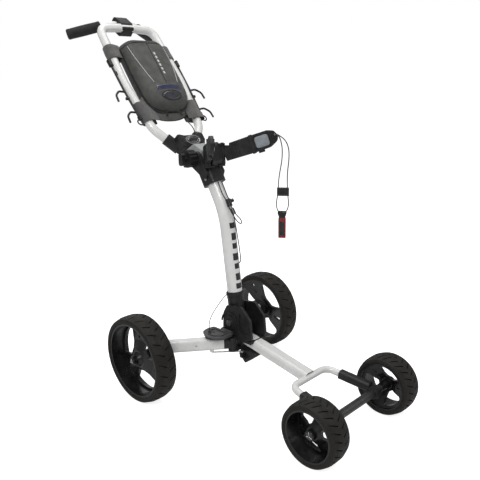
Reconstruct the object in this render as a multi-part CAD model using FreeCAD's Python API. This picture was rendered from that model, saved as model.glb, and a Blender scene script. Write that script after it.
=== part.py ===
import FreeCAD, Part
import math
import os

# Folding four-wheel push cart for a golf bag, all sizes in millimetres.
# Places are worked out from the ground point under the rear wheels' axle line:
# +X is the cart's right-hand side, -Y is the direction of travel and +Z is up.
# main() then moves every solid so that the origin lies under the cart's middle.
# "near" pieces are on the -X side and "far" pieces on the +X side.

V = FreeCAD.Vector
X_AXIS = V(1, 0, 0)
Y_AXIS = V(0, 1, 0)
Z_AXIS = V(0, 0, 1)
NEAR = -1
FAR = 1
SIDE_NAMES = {NEAR: "near", FAR: "far"}

# ---- running gear -----------------------------------------------------------
REAR_WHEEL_R = 145.0
REAR_WHEEL_W = 74.0
REAR_TRACK = 584.0
FRONT_WHEEL_R = 96.0
FRONT_WHEEL_W = 78.0
FRONT_TRACK = 364.0
WHEELBASE = 633.0
AXLE_R = 6.0
AXLE_PLAY = 0.08
AXLE_BAR_R = 13.5
TYRE_SHOULDER = 12.0
RIM_WALL = 5.0
REAR_TYRE_DEPTH = 22.0
FRONT_TYRE_DEPTH = 19.0
SPOKES = 3
OPENING_SPAN = 70.0
LUGS_PER_SIDE = 26
LUG_GROOVE_W = 3.6
LUG_GROOVE_DEPTH = 2.2
REAR_RIM_TURN = {NEAR: 53.0, FAR: 38.0}
FRONT_RIM_TURN = {NEAR: 81.0, FAR: 20.0}
BUTTON_R = 13.0
BUTTON_ROOM = 3.8

# ---- frame ------------------------------------------------------------------
MAST_R = 25.0
MAST_WALL = 2.0
MAST_FOOT_Z = 262.0
MAST_BEND = V(0, -108.2, 592.8)
MAST_LOW_TILT = 7.3
MAST_HIGH_TILT = 29.3
MAST_BEND_R = 280.0
FOLD_PIN = V(0, -152, 232)
FOLD_PIN_R = 7.0
CHEEK_GAP = 28.0
CHEEK_T = 9.0
BOSS_T = 2.5
HUB_FLOOR_TOP = 189.0
HUB_FLOOR_T = 9.0
BEAM_START = V(0, -203, 178)
BEAM_SLOPE = 10.3
BEAM_W = 46.0
BEAM_H = 36.0
BEAM_WALL = 2.5
BOW_Y = 167.0 - WHEELBASE
BOW_Z = 130.0
BOW_TUBE_R = 11.0
BOW_WALL = 1.8
BOW_HALF_W = 84.0
BOW_BEND_R = 34.0
SLEEVE_LOW = V(106, 20 - WHEELBASE, 110)
SLEEVE_W = 30.0
SLEEVE_H = 28.0
SLEEVE_L = 98.0

# ---- rear legs --------------------------------------------------------------
LEG_PIN_X = 44.0
LEG_PIN_Y = -172.0
LEG_PIN_R = 5.0
LEG_Z = 170.0
LEG_W = 27.0
LEG_H = 46.0
LEG_WALL = 2.0
LEG_ROOT_L = 30.0
LEG_MOUNT_X = REAR_TRACK / 2.0 - 56.0
LEG_MOUNT_Y = -20.0
ROD_R = 2.4
ROD_LEG_REACH = 70.0
ROD_Z = 138.0
SLIDER_TOP = 138.0
SLIDER_PIN = V(20, -191, 124)
PIN_SLACK = 1.6
PLATE_PIN_X = 46.0
PLATE_PIN_Z = 203.0
PLATE_PIN_R = 2.5
PLATE_LUG_Y = (-178.0, -128.0)
PLATE_LUG_T = 6.0
LEG_DIRECTION = V(LEG_MOUNT_X - LEG_PIN_X, LEG_MOUNT_Y - LEG_PIN_Y, 0).normalize()

# ---- upper joint and handle -------------------------------------------------
TILT_PIN = V(0, 3, 763)
TILT_PIN_R = 5.0
TONGUE_HALF_W = 24.0
TONGUE_GAP = 1.0
SLEEVE_LOW_Z = 672.0
SLEEVE_TOP_Z = 733.0
SLEEVE_OUTER = 31.0
KNOB_R = 28.0
KNOB_T = 30.0
KNOB_RIBS = 12
HANDLE_ORIGIN = V(0, 131, 859)
HANDLE_LEAN = 51.66
LOOP_R = 14.5
LOOP_WALL = 1.8
LOOP_HALF_W = 120.0
LOOP_TOP = 402.0
LOOP_CROWN = 7.0
LOOP_CORNER_R = 34.0
LOOP_RADII = [70, 420, LOOP_CORNER_R, 500, LOOP_CORNER_R, 420, 70]
SADDLE_HALF_W = 54.0
SADDLE_LOW = -108.0
SADDLE_HIGH = -62.0
SADDLE_N = (-8.0, 40.0)
BAR_S = 426.0
BAR_N = -13.0
BAR_R = 11.0
BAR_WALL = 1.8
BAR_HALF_FLAT = 50.0
BAR_END = V(172, 60, -36)
GRIP_R = 17.5
GRIP_L = 112.0
CLAMP_HALF_W = 23.0
BOLT_S = BAR_S + 16.5
BOLT_R = 3.0

# ---- console ----------------------------------------------------------------
CONSOLE_HALF_W = 88.0
CONSOLE_LOW = 40.0
CONSOLE_TOP = 316.0
CONSOLE_FLOOR = -18.0
CONSOLE_RIM = 18.0
CONSOLE_WALL = 3.0
LID_HINGE = 290.0
LID_TOP = 54.0
LID_GAP = 0.6
HINGE_BEAD_R = 1.4
HINGE_OUT = 52.4
WRAP_T = 3.0
WRAP_SPANS = [(262, 314), (16, 84)]
SOFT_GAP = 0.4

# ---- bag cradle -------------------------------------------------------------
ARM_SPREAD = 37.0
ARM_RISE = 18.0
ARM_PIN_X = 32.0
ARM_PIN_Y = -62.0
ARM_Z = 776.0
ARM_L = 170.0
ARM_T = 12.0
ARM_TURN = FreeCAD.Rotation(Z_AXIS, -90 + ARM_SPREAD).multiply(FreeCAD.Rotation(Y_AXIS, -ARM_RISE))

# ---- cords ------------------------------------------------------------------
CORD_R = 1.7
CABLE_R = 1.3
CORD_HOLE_R = 2.9
TETHER_X = 34.0
# Where the release line runs into the mast and the cable comes out of it: a point and a direction.
LINE_HOLE = (V(15, -148, 428.3), V(-7, 11.5, -6))
CABLE_HOLE = (V(-18.5, -131, 327), V(-11, 10, -8))

HANDLE_PLACEMENT = FreeCAD.Placement(HANDLE_ORIGIN, FreeCAD.Rotation(X_AXIS, HANDLE_LEAN))


# ---- building blocks --------------------------------------------------------
def cylinder(start, direction, radius, length):
    """A round bar of the given length that leaves start along direction."""
    return Part.makeCylinder(radius, length, start, direction)


def rod(start, end, radius):
    """A round bar between two points."""
    return cylinder(start, end - start, radius, (end - start).Length)


def ring(start, direction, outer, inner, length):
    """A round bar with a hole along its axis."""
    margin = direction * (1.0 / direction.Length)
    hole = cylinder(start - margin, direction, inner, length + 2.0)
    return cylinder(start, direction, outer, length).cut(hole)


def box(low, high):
    """An upright block between two opposite corners."""
    size = high - low
    return Part.makeBox(size.x, size.y, size.z, low)


def turn_angle(incoming, outgoing):
    """The angle in radians by which a path turns between two unit directions."""
    return math.acos(max(-1.0, min(1.0, incoming.dot(outgoing))))


def arc_path(points, radii, closed=False):
    """Straight runs joined by tangent arcs, one radius per corner (0 keeps it sharp)."""
    count = len(points)
    corners = range(count) if closed else range(1, count - 1)
    bends = {}
    for corner, radius in zip(corners, radii):
        here = points[corner]
        incoming = (here - points[corner - 1]).normalize()
        outgoing = (points[(corner + 1) % count] - here).normalize()
        half = turn_angle(incoming, outgoing) / 2.0
        if radius <= 0 or half < 1e-6:
            continue
        reach = radius * math.tan(half)
        inward = (outgoing - incoming).normalize()
        middle = here + inward * (radius / math.cos(half) - radius)
        bends[corner] = (here - incoming * reach, middle, here + outgoing * reach)
    edges = []
    last = bends[0][2] if closed and 0 in bends else points[0]
    order = list(range(1, count)) + ([0] if closed else [])
    for corner in order:
        target = bends[corner][0] if corner in bends else points[corner]
        if (target - last).Length > 1e-6:
            edges.append(Part.LineSegment(last, target).toShape())
        last = target
        if corner in bends:
            edges.append(Part.Arc(*bends[corner]).toShape())
            last = bends[corner][2]
    return Part.Wire(edges)


def sweep_circle(path, radius):
    """A solid round bar along a path of tangent lines and arcs."""
    first = path.OrderedEdges[0]
    start = first.valueAt(first.FirstParameter)
    tangent = first.tangentAt(first.FirstParameter)
    section = Part.Wire([Part.makeCircle(radius, start, tangent)])
    return path.makePipeShell([section], True, False)


def bent_tube(points, radii, radius, wall):
    """A hollow round tube along a path."""
    path = arc_path(points, radii)
    return sweep_circle(path, radius).cut(sweep_circle(path, radius - wall))


def prism(corners, radii, height, base=0.0):
    """A plate with rounded corners in the XY plane, from z = base upwards."""
    points = [V(x, y, base) for x, y in corners]
    face = Part.Face(arc_path(points, radii, closed=True))
    return face.extrude(V(0, 0, height))


def side_prism(corners, radii, low_x, high_x):
    """A plate with rounded corners given as (y, z), from low_x to high_x."""
    points = [V(low_x, y, z) for y, z in corners]
    face = Part.Face(arc_path(points, radii, closed=True))
    return face.extrude(V(high_x - low_x, 0, 0))


def oval_section(width, height, radius):
    """Corners of a rectangle about the origin and their radii."""
    w, h = width / 2.0, height / 2.0
    return [(-w, -h), (w, -h), (w, h), (-w, h)], [radius] * 4


def rounded_bar(start, end, width, height, radius):
    """A straight bar of rounded rectangular section whose width stays level."""
    axis = (end - start).normalize()
    side = Z_AXIS.cross(axis).normalize()
    up = axis.cross(side)
    corners, radii = oval_section(width, height, radius)
    bar = prism(corners, radii, (end - start).Length)
    turn = FreeCAD.Matrix(side.x, up.x, axis.x, start.x, side.y, up.y, axis.y, start.y,
                          side.z, up.z, axis.z, start.z, 0, 0, 0, 1)
    bar.Placement = FreeCAD.Placement(turn)
    return bar


def revolved(profile):
    """A solid of revolution about X from (x, r) corners."""
    points = [V(x, 0, r) for x, r in profile]
    face = Part.Face(Part.makePolygon(points + points[:1]))
    return face.revolve(V(0, 0, 0), X_AXIS, 360)


def lofted(wires):
    """A smooth solid through closed outlines."""
    return Part.makeLoft(wires, True, False)


def fused(*shapes):
    """One solid from overlapping ones."""
    return shapes[0].multiFuse(list(shapes[1:])).removeSplitter()


def on_side(shape, side):
    """The far-side shape itself, or its mirror image for the near side."""
    return shape if side == FAR else shape.mirror(V(0, 0, 0), X_AXIS)


def both_sides(shape):
    """A shape together with its mirror image, as separate solids."""
    return Part.makeCompound([shape, on_side(shape, NEAR)])


def on_handle(shape):
    """Takes (x, along, out) in the handle's own plane to the cart."""
    moved = shape.copy()
    moved.Placement = HANDLE_PLACEMENT.multiply(moved.Placement)
    return moved


def handle_point(x, along, out):
    """A point of the handle's own plane, on the cart."""
    return HANDLE_PLACEMENT.multVec(V(x, along, out))


# ---- wheels -----------------------------------------------------------------
def tyre(radius, width, depth):
    """A foam tyre with rounded shoulders and slanting tread grooves, centred on the origin."""
    half = width / 2.0
    inner = radius - depth
    crown = 3.0
    profile = [(-half + 4, inner), (half - 4, inner), (half, inner + 5),
               (half, radius - TYRE_SHOULDER), (half - 3.5, radius - 5.5),
               (half - TYRE_SHOULDER, radius - crown), (half * 0.45, radius - 0.6), (0, radius),
               (-half * 0.45, radius - 0.6), (-half + TYRE_SHOULDER, radius - crown),
               (-half + 3.5, radius - 5.5), (-half, radius - TYRE_SHOULDER), (-half, inner + 5)]
    body = revolved(profile)
    groove_l = half * 0.98
    bottom = radius - crown - LUG_GROOVE_DEPTH
    groove = Part.makeBox(groove_l, LUG_GROOVE_W, 12, V(4, -LUG_GROOVE_W / 2.0, bottom))
    cuts = []
    for side in (1, -1):
        slanted = groove.copy()
        slanted.rotate(V(4, 0, 0), Z_AXIS, 28)
        if side < 0:
            slanted = slanted.mirror(V(0, 0, 0), X_AXIS)
        for index in range(LUGS_PER_SIDE):
            copy = slanted.copy()
            shift = 0.5 if side < 0 else 0.0
            copy.rotate(V(0, 0, 0), X_AXIS, 360.0 * (index + shift) / LUGS_PER_SIDE)
            cuts.append(copy)
    return body.cut(Part.makeCompound(cuts))


def spoke_opening(inner, outer, span, thickness, soft):
    """A rounded opening between two spokes, pointing up, cut across the whole wheel."""
    half = math.radians(span / 2.0)
    narrow = half * 0.62
    far = 2.0 * outer
    wide = math.atan2(outer * math.sin(half) - inner * math.sin(narrow),
                      outer * math.cos(half) - inner * math.cos(narrow))
    reach = far * math.tan(wide)
    base = inner * math.cos(narrow)
    corners = [(-inner * math.sin(narrow), base), (inner * math.sin(narrow), base),
               (inner * math.sin(narrow) + reach, base + far),
               (-inner * math.sin(narrow) - reach, base + far)]
    plate = prism(corners, [0, 0, 0, 0], 2 * thickness, -thickness)
    plate = plate.common(cylinder(V(0, 0, -thickness), Z_AXIS, outer, 2 * thickness))
    edges = [edge for edge in plate.Edges if abs(edge.Length - 2 * thickness) < 0.1]
    plate = plate.makeFillet(soft, edges)
    plate.rotate(V(0, 0, 0), V(1, 1, 1), 120)
    return plate


def rim(radius, width, depth, nose=False):
    """A moulded wheel with a deep dish, three broad slotted spokes and a bored hub.

    A wheel with a nose has a collar in front of the hub, in which its release button slides.
    """
    half = width / 2.0
    bed = radius - depth
    barrel = [(-half + 4, bed - 0.02), (-half + 4, bed - RIM_WALL), (half - 4, bed - RIM_WALL),
              (half - 4, bed - 0.02)]
    web_r = bed - RIM_WALL + 1.0
    web = [(half * 0.30, 12), (half * 0.30, radius * 0.20), (-half * 0.10, radius * 0.42),
           (-half * 0.42, web_r), (-half * 0.72, web_r), (-half * 0.36, radius * 0.40),
           (half * 0.02, radius * 0.20), (half * 0.02, 12)]
    hub = [(-half + 3, AXLE_R + AXLE_PLAY), (half * 0.62, AXLE_R + AXLE_PLAY), (half * 0.62, 15),
           (half * 0.30, radius * 0.17), (-half + 3, radius * 0.14)]
    opening_outer = bed - RIM_WALL - 7.0
    cuts = []
    step = 360.0 / SPOKES
    for index in range(SPOKES):
        opening = spoke_opening(radius * 0.29, opening_outer, OPENING_SPAN, width, radius * 0.07)
        opening.rotate(V(0, 0, 0), X_AXIS, step * index)
        slot = spoke_opening(radius * 0.46, opening_outer * 0.94, 8, width, 2.0)
        slot.rotate(V(0, 0, 0), X_AXIS, step * (index + 0.5))
        cuts += [opening, slot]
    disc = revolved(web).cut(Part.makeCompound(cuts))
    pieces = [disc, revolved(barrel), revolved(hub)]
    if nose:
        pieces.append(ring(V(half * 0.62 - 1, 0, 0), X_AXIS, BUTTON_R + 3.5, BUTTON_R + 0.3, 6.5))
    return fused(*pieces)


def cap_button(width):
    """The release button in the hub's nose, with a raised three-armed grip."""
    face = width / 2.0 * 0.62 + BUTTON_ROOM
    body = cylinder(V(face, 0, 0), X_AXIS, BUTTON_R, 6.0)
    arm = Part.makeBox(2.0, 3.4, 9.5, V(face + 5.9, -1.7, 0))
    arms = []
    for index in range(SPOKES):
        copy = arm.copy()
        copy.rotate(V(0, 0, 0), X_AXIS, 360.0 * index / SPOKES)
        arms.append(copy)
    return fused(body, *arms)


def wheel_place(shape, side, track, y, z):
    """Turns a wheel piece so that its dish faces outwards and sets it at its axle."""
    placed = shape.copy()
    placed.translate(V(track / 2.0, y, z))
    return on_side(placed, side)


# ---- lower hub --------------------------------------------------------------
def fold_hub():
    """The two cheeks that carry the mast's fold pin, with the floor, the beam socket and the ears."""
    pin_y, pin_z = FOLD_PIN.y, FOLD_PIN.z
    outline = [(-118, 190), (-122, 262), (-140, 292), (-206, 300), (-246, 262), (-252, 196),
               (-214, 182)]
    outer = CHEEK_GAP + CHEEK_T
    cheek = side_prism(outline, [14, 20, 12, 14, 14, 8, 10], CHEEK_GAP, outer)
    boss = cylinder(V(outer, pin_y, pin_z), X_AXIS, 26, BOSS_T)
    arch = ring(V(outer, pin_y, pin_z), X_AXIS, 38, 33, 3)
    window = side_prism([(-196, 210), (-196, 282), (-238, 250), (-240, 210)], [6, 6, 6, 6],
                        outer - 3, outer + 1)
    cheek = fused(cheek, boss, arch.common(box(V(outer - 1, pin_y - 60, pin_z),
                                               V(outer + 4, pin_y + 60, pin_z + 60))))
    cheek = cheek.cut(window)
    floor_top = HUB_FLOOR_TOP
    floor_low = HUB_FLOOR_TOP - HUB_FLOOR_T
    floor = box(V(-outer, -248, floor_low), V(outer, -122, floor_top))
    back = box(V(-outer, -126, floor_low), V(outer, -118, pin_z - 27))
    ear_low = LEG_Z - LEG_H / 2.0 - 7.0
    lower_ear = fused(cylinder(V(LEG_PIN_X, LEG_PIN_Y, ear_low), Z_AXIS, 15, 6),
                      box(V(0, LEG_PIN_Y - 15, ear_low), V(LEG_PIN_X, LEG_PIN_Y + 15, ear_low + 6)))
    upper_ear = fused(cylinder(V(LEG_PIN_X, LEG_PIN_Y, floor_low), Z_AXIS, 15, HUB_FLOOR_T),
                      box(V(0, LEG_PIN_Y - 15, floor_low), V(LEG_PIN_X, LEG_PIN_Y + 15, floor_top)))
    post = box(V(-13, LEG_PIN_Y - 12, ear_low), V(13, LEG_PIN_Y + 15, floor_top))
    guide = box(V(-9, -206, SLIDER_TOP + 0.4), V(9, -180, ear_low + 1))
    body = fused(cheek, on_side(cheek, NEAR), floor, back, post, guide, lower_ear,
                 on_side(lower_ear, NEAR), upper_ear, on_side(upper_ear, NEAR))
    body = body.cut(cylinder(V(-60, pin_y, pin_z), X_AXIS, FOLD_PIN_R, 120))
    for side in (NEAR, FAR):
        body = body.cut(cylinder(V(side * LEG_PIN_X, LEG_PIN_Y, 100), Z_AXIS, LEG_PIN_R, 120))
    for y in PLATE_LUG_Y:
        body = body.fuse(plate_lug(y))
    body = body.cut(cylinder(V(-PLATE_PIN_X, -300, PLATE_PIN_Z), Y_AXIS, PLATE_PIN_R, 300))
    return body.cut(beam_outer()).removeSplitter()



def plate_lug(y):
    """A lug on the near cheek that carries the release plate's pin."""
    return fused(cylinder(V(-PLATE_PIN_X, y, PLATE_PIN_Z), Y_AXIS, 6, PLATE_LUG_T),
                 box(V(-PLATE_PIN_X, y, PLATE_PIN_Z - 6),
                     V(-CHEEK_GAP - 2, y + PLATE_LUG_T, PLATE_PIN_Z + 6)))


def pivot_pins():
    """The fold pin, the two leg pins and the release plate's pin."""
    half = CHEEK_GAP + CHEEK_T + BOSS_T
    fold = cylinder(V(-half - 1, FOLD_PIN.y, FOLD_PIN.z), X_AXIS, FOLD_PIN_R, 2 * half + 2)
    heads = [cylinder(V(side * (half + 1) - (3 if side < 0 else 0), FOLD_PIN.y, FOLD_PIN.z),
                      X_AXIS, FOLD_PIN_R + 4, 3) for side in (NEAR, FAR)]
    pins = [fused(fold, *heads)]
    low = LEG_Z - LEG_H / 2.0 - 7.0
    for side in (NEAR, FAR):
        pins.append(cylinder(V(side * LEG_PIN_X, LEG_PIN_Y, low), Z_AXIS, LEG_PIN_R,
                             HUB_FLOOR_TOP - low))
    pins.append(cylinder(V(-PLATE_PIN_X, PLATE_LUG_Y[0], PLATE_PIN_Z), Y_AXIS, PLATE_PIN_R,
                         PLATE_LUG_Y[1] + PLATE_LUG_T - PLATE_LUG_Y[0]))
    return Part.makeCompound(pins)


def release_plate():
    """The foot plate beside the hub that frees the fold; it lifts about its inner edge."""
    level = PLATE_PIN_Z - 3
    corners = [(-54, -186), (-54, -92), (-84, -88), (-106, -94), (-128, -132), (-126, -160),
               (-100, -186)]
    plate = prism(corners, [6, 8, 14, 12, 12, 12, 20], 7, level)
    barrel = cylinder(V(-PLATE_PIN_X, PLATE_LUG_Y[0] + PLATE_LUG_T + 0.4, PLATE_PIN_Z), Y_AXIS, 6,
                      PLATE_LUG_Y[1] - PLATE_LUG_Y[0] - PLATE_LUG_T - 0.8)
    bridge = box(V(-58, PLATE_LUG_Y[0] + PLATE_LUG_T + 0.4, level),
                 V(-PLATE_PIN_X, PLATE_LUG_Y[1] - 0.4, level + 6))
    rib = prism([(-60, -170), (-60, -104), (-84, -102), (-112, -124), (-110, -150), (-92, -170)],
                [4, 4, 8, 8, 8, 8], 2.5, level + 6.5)
    hollow = prism([(-66, -164), (-66, -110), (-84, -109), (-106, -126), (-104, -148), (-90, -164)],
                   [4, 4, 6, 6, 6, 6], 4.0, level + 6.0)
    body = fused(plate, barrel, bridge, rib).cut(hollow)
    body = body.cut(cylinder(V(-86, -126, level - 1), Z_AXIS, 4, 12))
    bore = cylinder(V(-PLATE_PIN_X, -300, PLATE_PIN_Z), Y_AXIS, PLATE_PIN_R + 0.08, 300)
    anchor = cylinder(V(-99, -119, level + 5), Z_AXIS, 5, 8)
    socket = cylinder(V(-99, -119, level + 8), Z_AXIS, CABLE_R + 1.8, 8)
    return fused(body, anchor).cut(socket).cut(bore)


# ---- mast -------------------------------------------------------------------
def mast_line(z, tilt, through):
    """The point at height z on a line through a point, leaning back by tilt degrees."""
    return V(0, through.y + (z - through.z) * math.tan(math.radians(tilt)), z)


def mast_points():
    """The mast's centre line from the foot to the upper joint."""
    bottom = mast_line(MAST_FOOT_Z, MAST_LOW_TILT, MAST_BEND)
    top = mast_line(SLEEVE_TOP_Z - 6, MAST_HIGH_TILT, MAST_BEND)
    return [bottom, MAST_BEND, top]


def mast_direction(tilt):
    """The mast's unit direction where it leans back by tilt degrees."""
    return V(0, math.sin(math.radians(tilt)), math.cos(math.radians(tilt)))


def mast_outer():
    """The mast's outer shape."""
    return sweep_circle(arc_path(mast_points(), [MAST_BEND_R]), MAST_R + 0.2)


def mast_tube():
    """The curved hollow mast with the two small holes that the release cord runs through."""
    tube = bent_tube(mast_points(), [MAST_BEND_R], MAST_R, MAST_WALL)
    for place, direction in (LINE_HOLE, CABLE_HOLE):
        tube = tube.cut(cylinder(place - direction, direction, CORD_HOLE_R, 2 * direction.Length))
    return tube



def mast_foot():
    """The casting that holds the mast's lower end and swings on the fold pin."""
    axis = mast_direction(MAST_LOW_TILT)
    low = mast_line(MAST_FOOT_Z - 8, MAST_LOW_TILT, MAST_BEND)
    half = CHEEK_GAP - 0.5
    collar = cylinder(low, axis, half, 80)
    lip = ring(low + axis * 68, axis, half + 2.5, MAST_R - 1, 9)
    lip = lip.common(box(V(-half, low.y - 100, low.z), V(half, low.y + 100, low.z + 200)))
    knuckle = cylinder(V(-half + 1, FOLD_PIN.y, FOLD_PIN.z), X_AXIS, 30, 2 * half - 2)
    lug = side_prism([(-124, 296), (-112, 300), (-112, 310), (-126, 312)], [2, 3, 3, 2], -9, 9)
    body = fused(collar, knuckle, lip, lug)
    socket = cylinder(mast_line(MAST_FOOT_Z, MAST_LOW_TILT, MAST_BEND), axis, MAST_R, 90)
    bore = cylinder(V(-60, FOLD_PIN.y, FOLD_PIN.z), X_AXIS, FOLD_PIN_R + 0.08, 120)
    trimmed = body.cut(socket).cut(bore)
    place, direction = CABLE_HOLE
    return trimmed.cut(cylinder(place - direction, direction, CORD_HOLE_R + 0.4, 3 * direction.Length))


def upper_sleeve():
    """The black sleeve around the mast's top, with the two cheeks of the tilt joint."""
    axis = mast_direction(MAST_HIGH_TILT)
    low = mast_line(SLEEVE_LOW_Z + 10, MAST_HIGH_TILT, MAST_BEND)
    high = mast_line(SLEEVE_TOP_Z, MAST_HIGH_TILT, MAST_BEND)
    block = rounded_bar(low, high, 2 * SLEEVE_OUTER, 2 * SLEEVE_OUTER, 16)
    cap = rounded_bar(high, high + axis * 5, 2 * SLEEVE_OUTER, 2 * SLEEVE_OUTER, 16)
    outer = SLEEVE_OUTER + 7.0
    inner = TONGUE_HALF_W + TONGUE_GAP
    cheek_outline = [(TILT_PIN.y + 22, TILT_PIN.z - 20), (TILT_PIN.y + 24, TILT_PIN.z + 20),
                     (TILT_PIN.y - 22, TILT_PIN.z + 22), (-66, 722), (-58, 700), (-28, 712)]
    cheek = side_prism(cheek_outline, [20, 20, 20, 8, 8, 16], inner, outer)
    keel = box(V(inner - 1, -62, 702), V(SLEEVE_OUTER, -30, 726))
    body = fused(block, cap, cheek, on_side(cheek, NEAR), keel, on_side(keel, NEAR))
    socket = cylinder(mast_line(600, MAST_HIGH_TILT, MAST_BEND), axis, MAST_R,
                      (SLEEVE_TOP_Z - 6 - 600) / axis.z)
    swing = cylinder(V(-inner, TILT_PIN.y, TILT_PIN.z), X_AXIS, 26, 2 * inner)
    body = body.cut(socket).cut(swing)
    pin_hole = cylinder(V(-60, TILT_PIN.y, TILT_PIN.z), X_AXIS, TILT_PIN_R + AXLE_PLAY, 120)
    return body.cut(pin_hole).cut(frame_screws())


def frame_screws():
    """The screws through the sleeve and the mast's foot."""
    screws = []
    for y, z in [(-50, 700), (-38, 722)]:
        for side in (NEAR, FAR):
            screws.append(on_side(fused(cylinder(V(SLEEVE_OUTER, y, z), X_AXIS, 5, 2.5),
                                        cylinder(V(MAST_R + 1, y, z), X_AXIS, 2, 6)), side))
    return Part.makeCompound(screws)


# ---- front frame ------------------------------------------------------------
def beam_end():
    """The beam's lower end, on the bow's centre line."""
    drop = (BEAM_START.y - BOW_Y) * math.tan(math.radians(BEAM_SLOPE))
    return V(0, BOW_Y, BEAM_START.z - drop)


def beam_outer():
    """The beam's outer shape."""
    return rounded_bar(BEAM_START, beam_end(), BEAM_W, BEAM_H, 13)


def bow_path():
    """The bow's centre line, from one sleeve round the front of the beam to the other."""
    near = sleeve_top(NEAR)
    far = sleeve_top(FAR)
    return [near, V(-BOW_HALF_W, BOW_Y, BOW_Z), V(BOW_HALF_W, BOW_Y, BOW_Z), far]


def sleeve_axis(side):
    """The direction in which a bow arm runs down to its sleeve."""
    return (V(side * SLEEVE_LOW.x, SLEEVE_LOW.y, SLEEVE_LOW.z) -
            V(side * BOW_HALF_W, BOW_Y, BOW_Z)).normalize()


def sleeve_top(side):
    """Where the bow's tube ends, inside its sleeve."""
    low = V(side * SLEEVE_LOW.x, SLEEVE_LOW.y, SLEEVE_LOW.z)
    return low - sleeve_axis(side) * (SLEEVE_L * 0.45)


def front_beam():
    """The hollow beam from the hub down to the bow, coped round the bow's tube."""
    inner = rounded_bar(BEAM_START - V(0, -5, 0), beam_end() + V(0, -5, 0), BEAM_W - 2 * BEAM_WALL,
                        BEAM_H - 2 * BEAM_WALL, 13 - BEAM_WALL)
    bow = sweep_circle(arc_path(bow_path(), [BOW_BEND_R] * 2), BOW_TUBE_R)
    return beam_outer().cut(inner).cut(bow)


def front_bow():
    """The U-shaped tube that the bag's foot rests on."""
    return bent_tube(bow_path(), [BOW_BEND_R] * 2, BOW_TUBE_R, BOW_WALL)


def bow_sleeves():
    """The two sleeves that carry the bow's arms down to the axle bar."""
    axis = sleeve_axis(FAR)
    low = V(SLEEVE_LOW.x, SLEEVE_LOW.y, SLEEVE_LOW.z)
    shell = rounded_bar(low - axis * SLEEVE_L, low + axis * 6, SLEEVE_W, SLEEVE_H, 9)
    lug = side_prism([(-598, 118), (-652, 108), (-652, 84), (-634, 78), (-614, 84)],
                     [8, 14, 14, 10, 10], SLEEVE_LOW.x - 13, SLEEVE_LOW.x + 15)
    body = fused(shell, lug)
    socket = cylinder(low - axis * (SLEEVE_L + 1), axis, BOW_TUBE_R, SLEEVE_L * 0.55 + 1)
    body = body.cut(socket).cut(cylinder(V(0, -WHEELBASE, FRONT_WHEEL_R), X_AXIS, AXLE_BAR_R, 200))
    return both_sides(body)


def front_axle():
    """The axle bar with its two stub ends."""
    bar_half = (FRONT_TRACK - FRONT_WHEEL_W) / 2.0 - 2.0
    stub_half = FRONT_TRACK / 2.0 + FRONT_WHEEL_W * 0.31 + 0.2
    bar = cylinder(V(-bar_half, -WHEELBASE, FRONT_WHEEL_R), X_AXIS, AXLE_BAR_R, 2 * bar_half)
    stub = cylinder(V(-stub_half, -WHEELBASE, FRONT_WHEEL_R), X_AXIS, AXLE_R, 2 * stub_half)
    return fused(bar, stub)


# ---- rear legs --------------------------------------------------------------
def leg_point(reach, drop=0.0):
    """A point of the far leg's centre line, reach away from its pin."""
    return V(LEG_PIN_X, LEG_PIN_Y, LEG_Z - drop) + LEG_DIRECTION * reach


def leg_length():
    """The distance from the leg's pin to its outer end."""
    return math.hypot(LEG_MOUNT_X - LEG_PIN_X, LEG_MOUNT_Y - LEG_PIN_Y)


def leg_tube(side):
    """The hollow oval leg, with the small lug that the link rod hooks into."""
    start, end = leg_point(LEG_ROOT_L), leg_point(leg_length())
    outer = rounded_bar(start, end, LEG_W, LEG_H, LEG_W / 2.0 - 0.5)
    inner = rounded_bar(start, end, LEG_W - 2 * LEG_WALL, LEG_H - 2 * LEG_WALL,
                        LEG_W / 2.0 - LEG_WALL - 0.5)
    foot = leg_point(ROD_LEG_REACH)
    lug = cylinder(V(foot.x, foot.y, ROD_Z + ROD_R + 0.4), Z_AXIS, 6.5,
                   LEG_Z - LEG_H / 2.0 + 3 - ROD_Z - ROD_R - 0.4)
    body = fused(outer, lug).cut(inner)
    pin_hole = cylinder(V(foot.x, foot.y, ROD_Z), Z_AXIS, ROD_R + 0.08, 40)
    screw_hole = cylinder(leg_point(LEG_ROOT_L + 92), LEG_DIRECTION.cross(Z_AXIS), 2.5, 60)
    return on_side(body.cut(pin_hole).cut(screw_hole), side)


def leg_root(side):
    """The block that plugs into the leg and turns on the leg pin."""
    height = LEG_H - 2.0
    low_ear_top = LEG_Z - LEG_H / 2.0 - 1.0
    boss = cylinder(V(LEG_PIN_X, LEG_PIN_Y, low_ear_top + 0.5), Z_AXIS, 14,
                    HUB_FLOOR_TOP - HUB_FLOOR_T - low_ear_top - 1.0)
    ears = [cylinder(V(LEG_PIN_X, LEG_PIN_Y, HUB_FLOOR_TOP - HUB_FLOOR_T - 0.5), Z_AXIS, 17.5, 60),
            cylinder(V(LEG_PIN_X, LEG_PIN_Y, low_ear_top + 0.5 - 60), Z_AXIS, 17.5, 60)]
    collar = rounded_bar(leg_point(4), leg_point(LEG_ROOT_L), LEG_W - 1, height, LEG_W / 2.0 - 1)
    plug = rounded_bar(leg_point(LEG_ROOT_L - 4), leg_point(LEG_ROOT_L + 30),
                       LEG_W - 2 * LEG_WALL, LEG_H - 2 * LEG_WALL, LEG_W / 2.0 - LEG_WALL - 0.5)
    pin = cylinder(V(LEG_PIN_X, LEG_PIN_Y, 100), Z_AXIS, LEG_PIN_R + 0.08, 140)
    foot = leg_point(ROD_LEG_REACH)
    clear = cylinder(V(foot.x, foot.y, 100), Z_AXIS, ROD_R + 6, 70)
    body = fused(boss, collar, plug).cut(Part.makeCompound(ears))
    return on_side(body.cut(pin).cut(clear), side)


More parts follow.
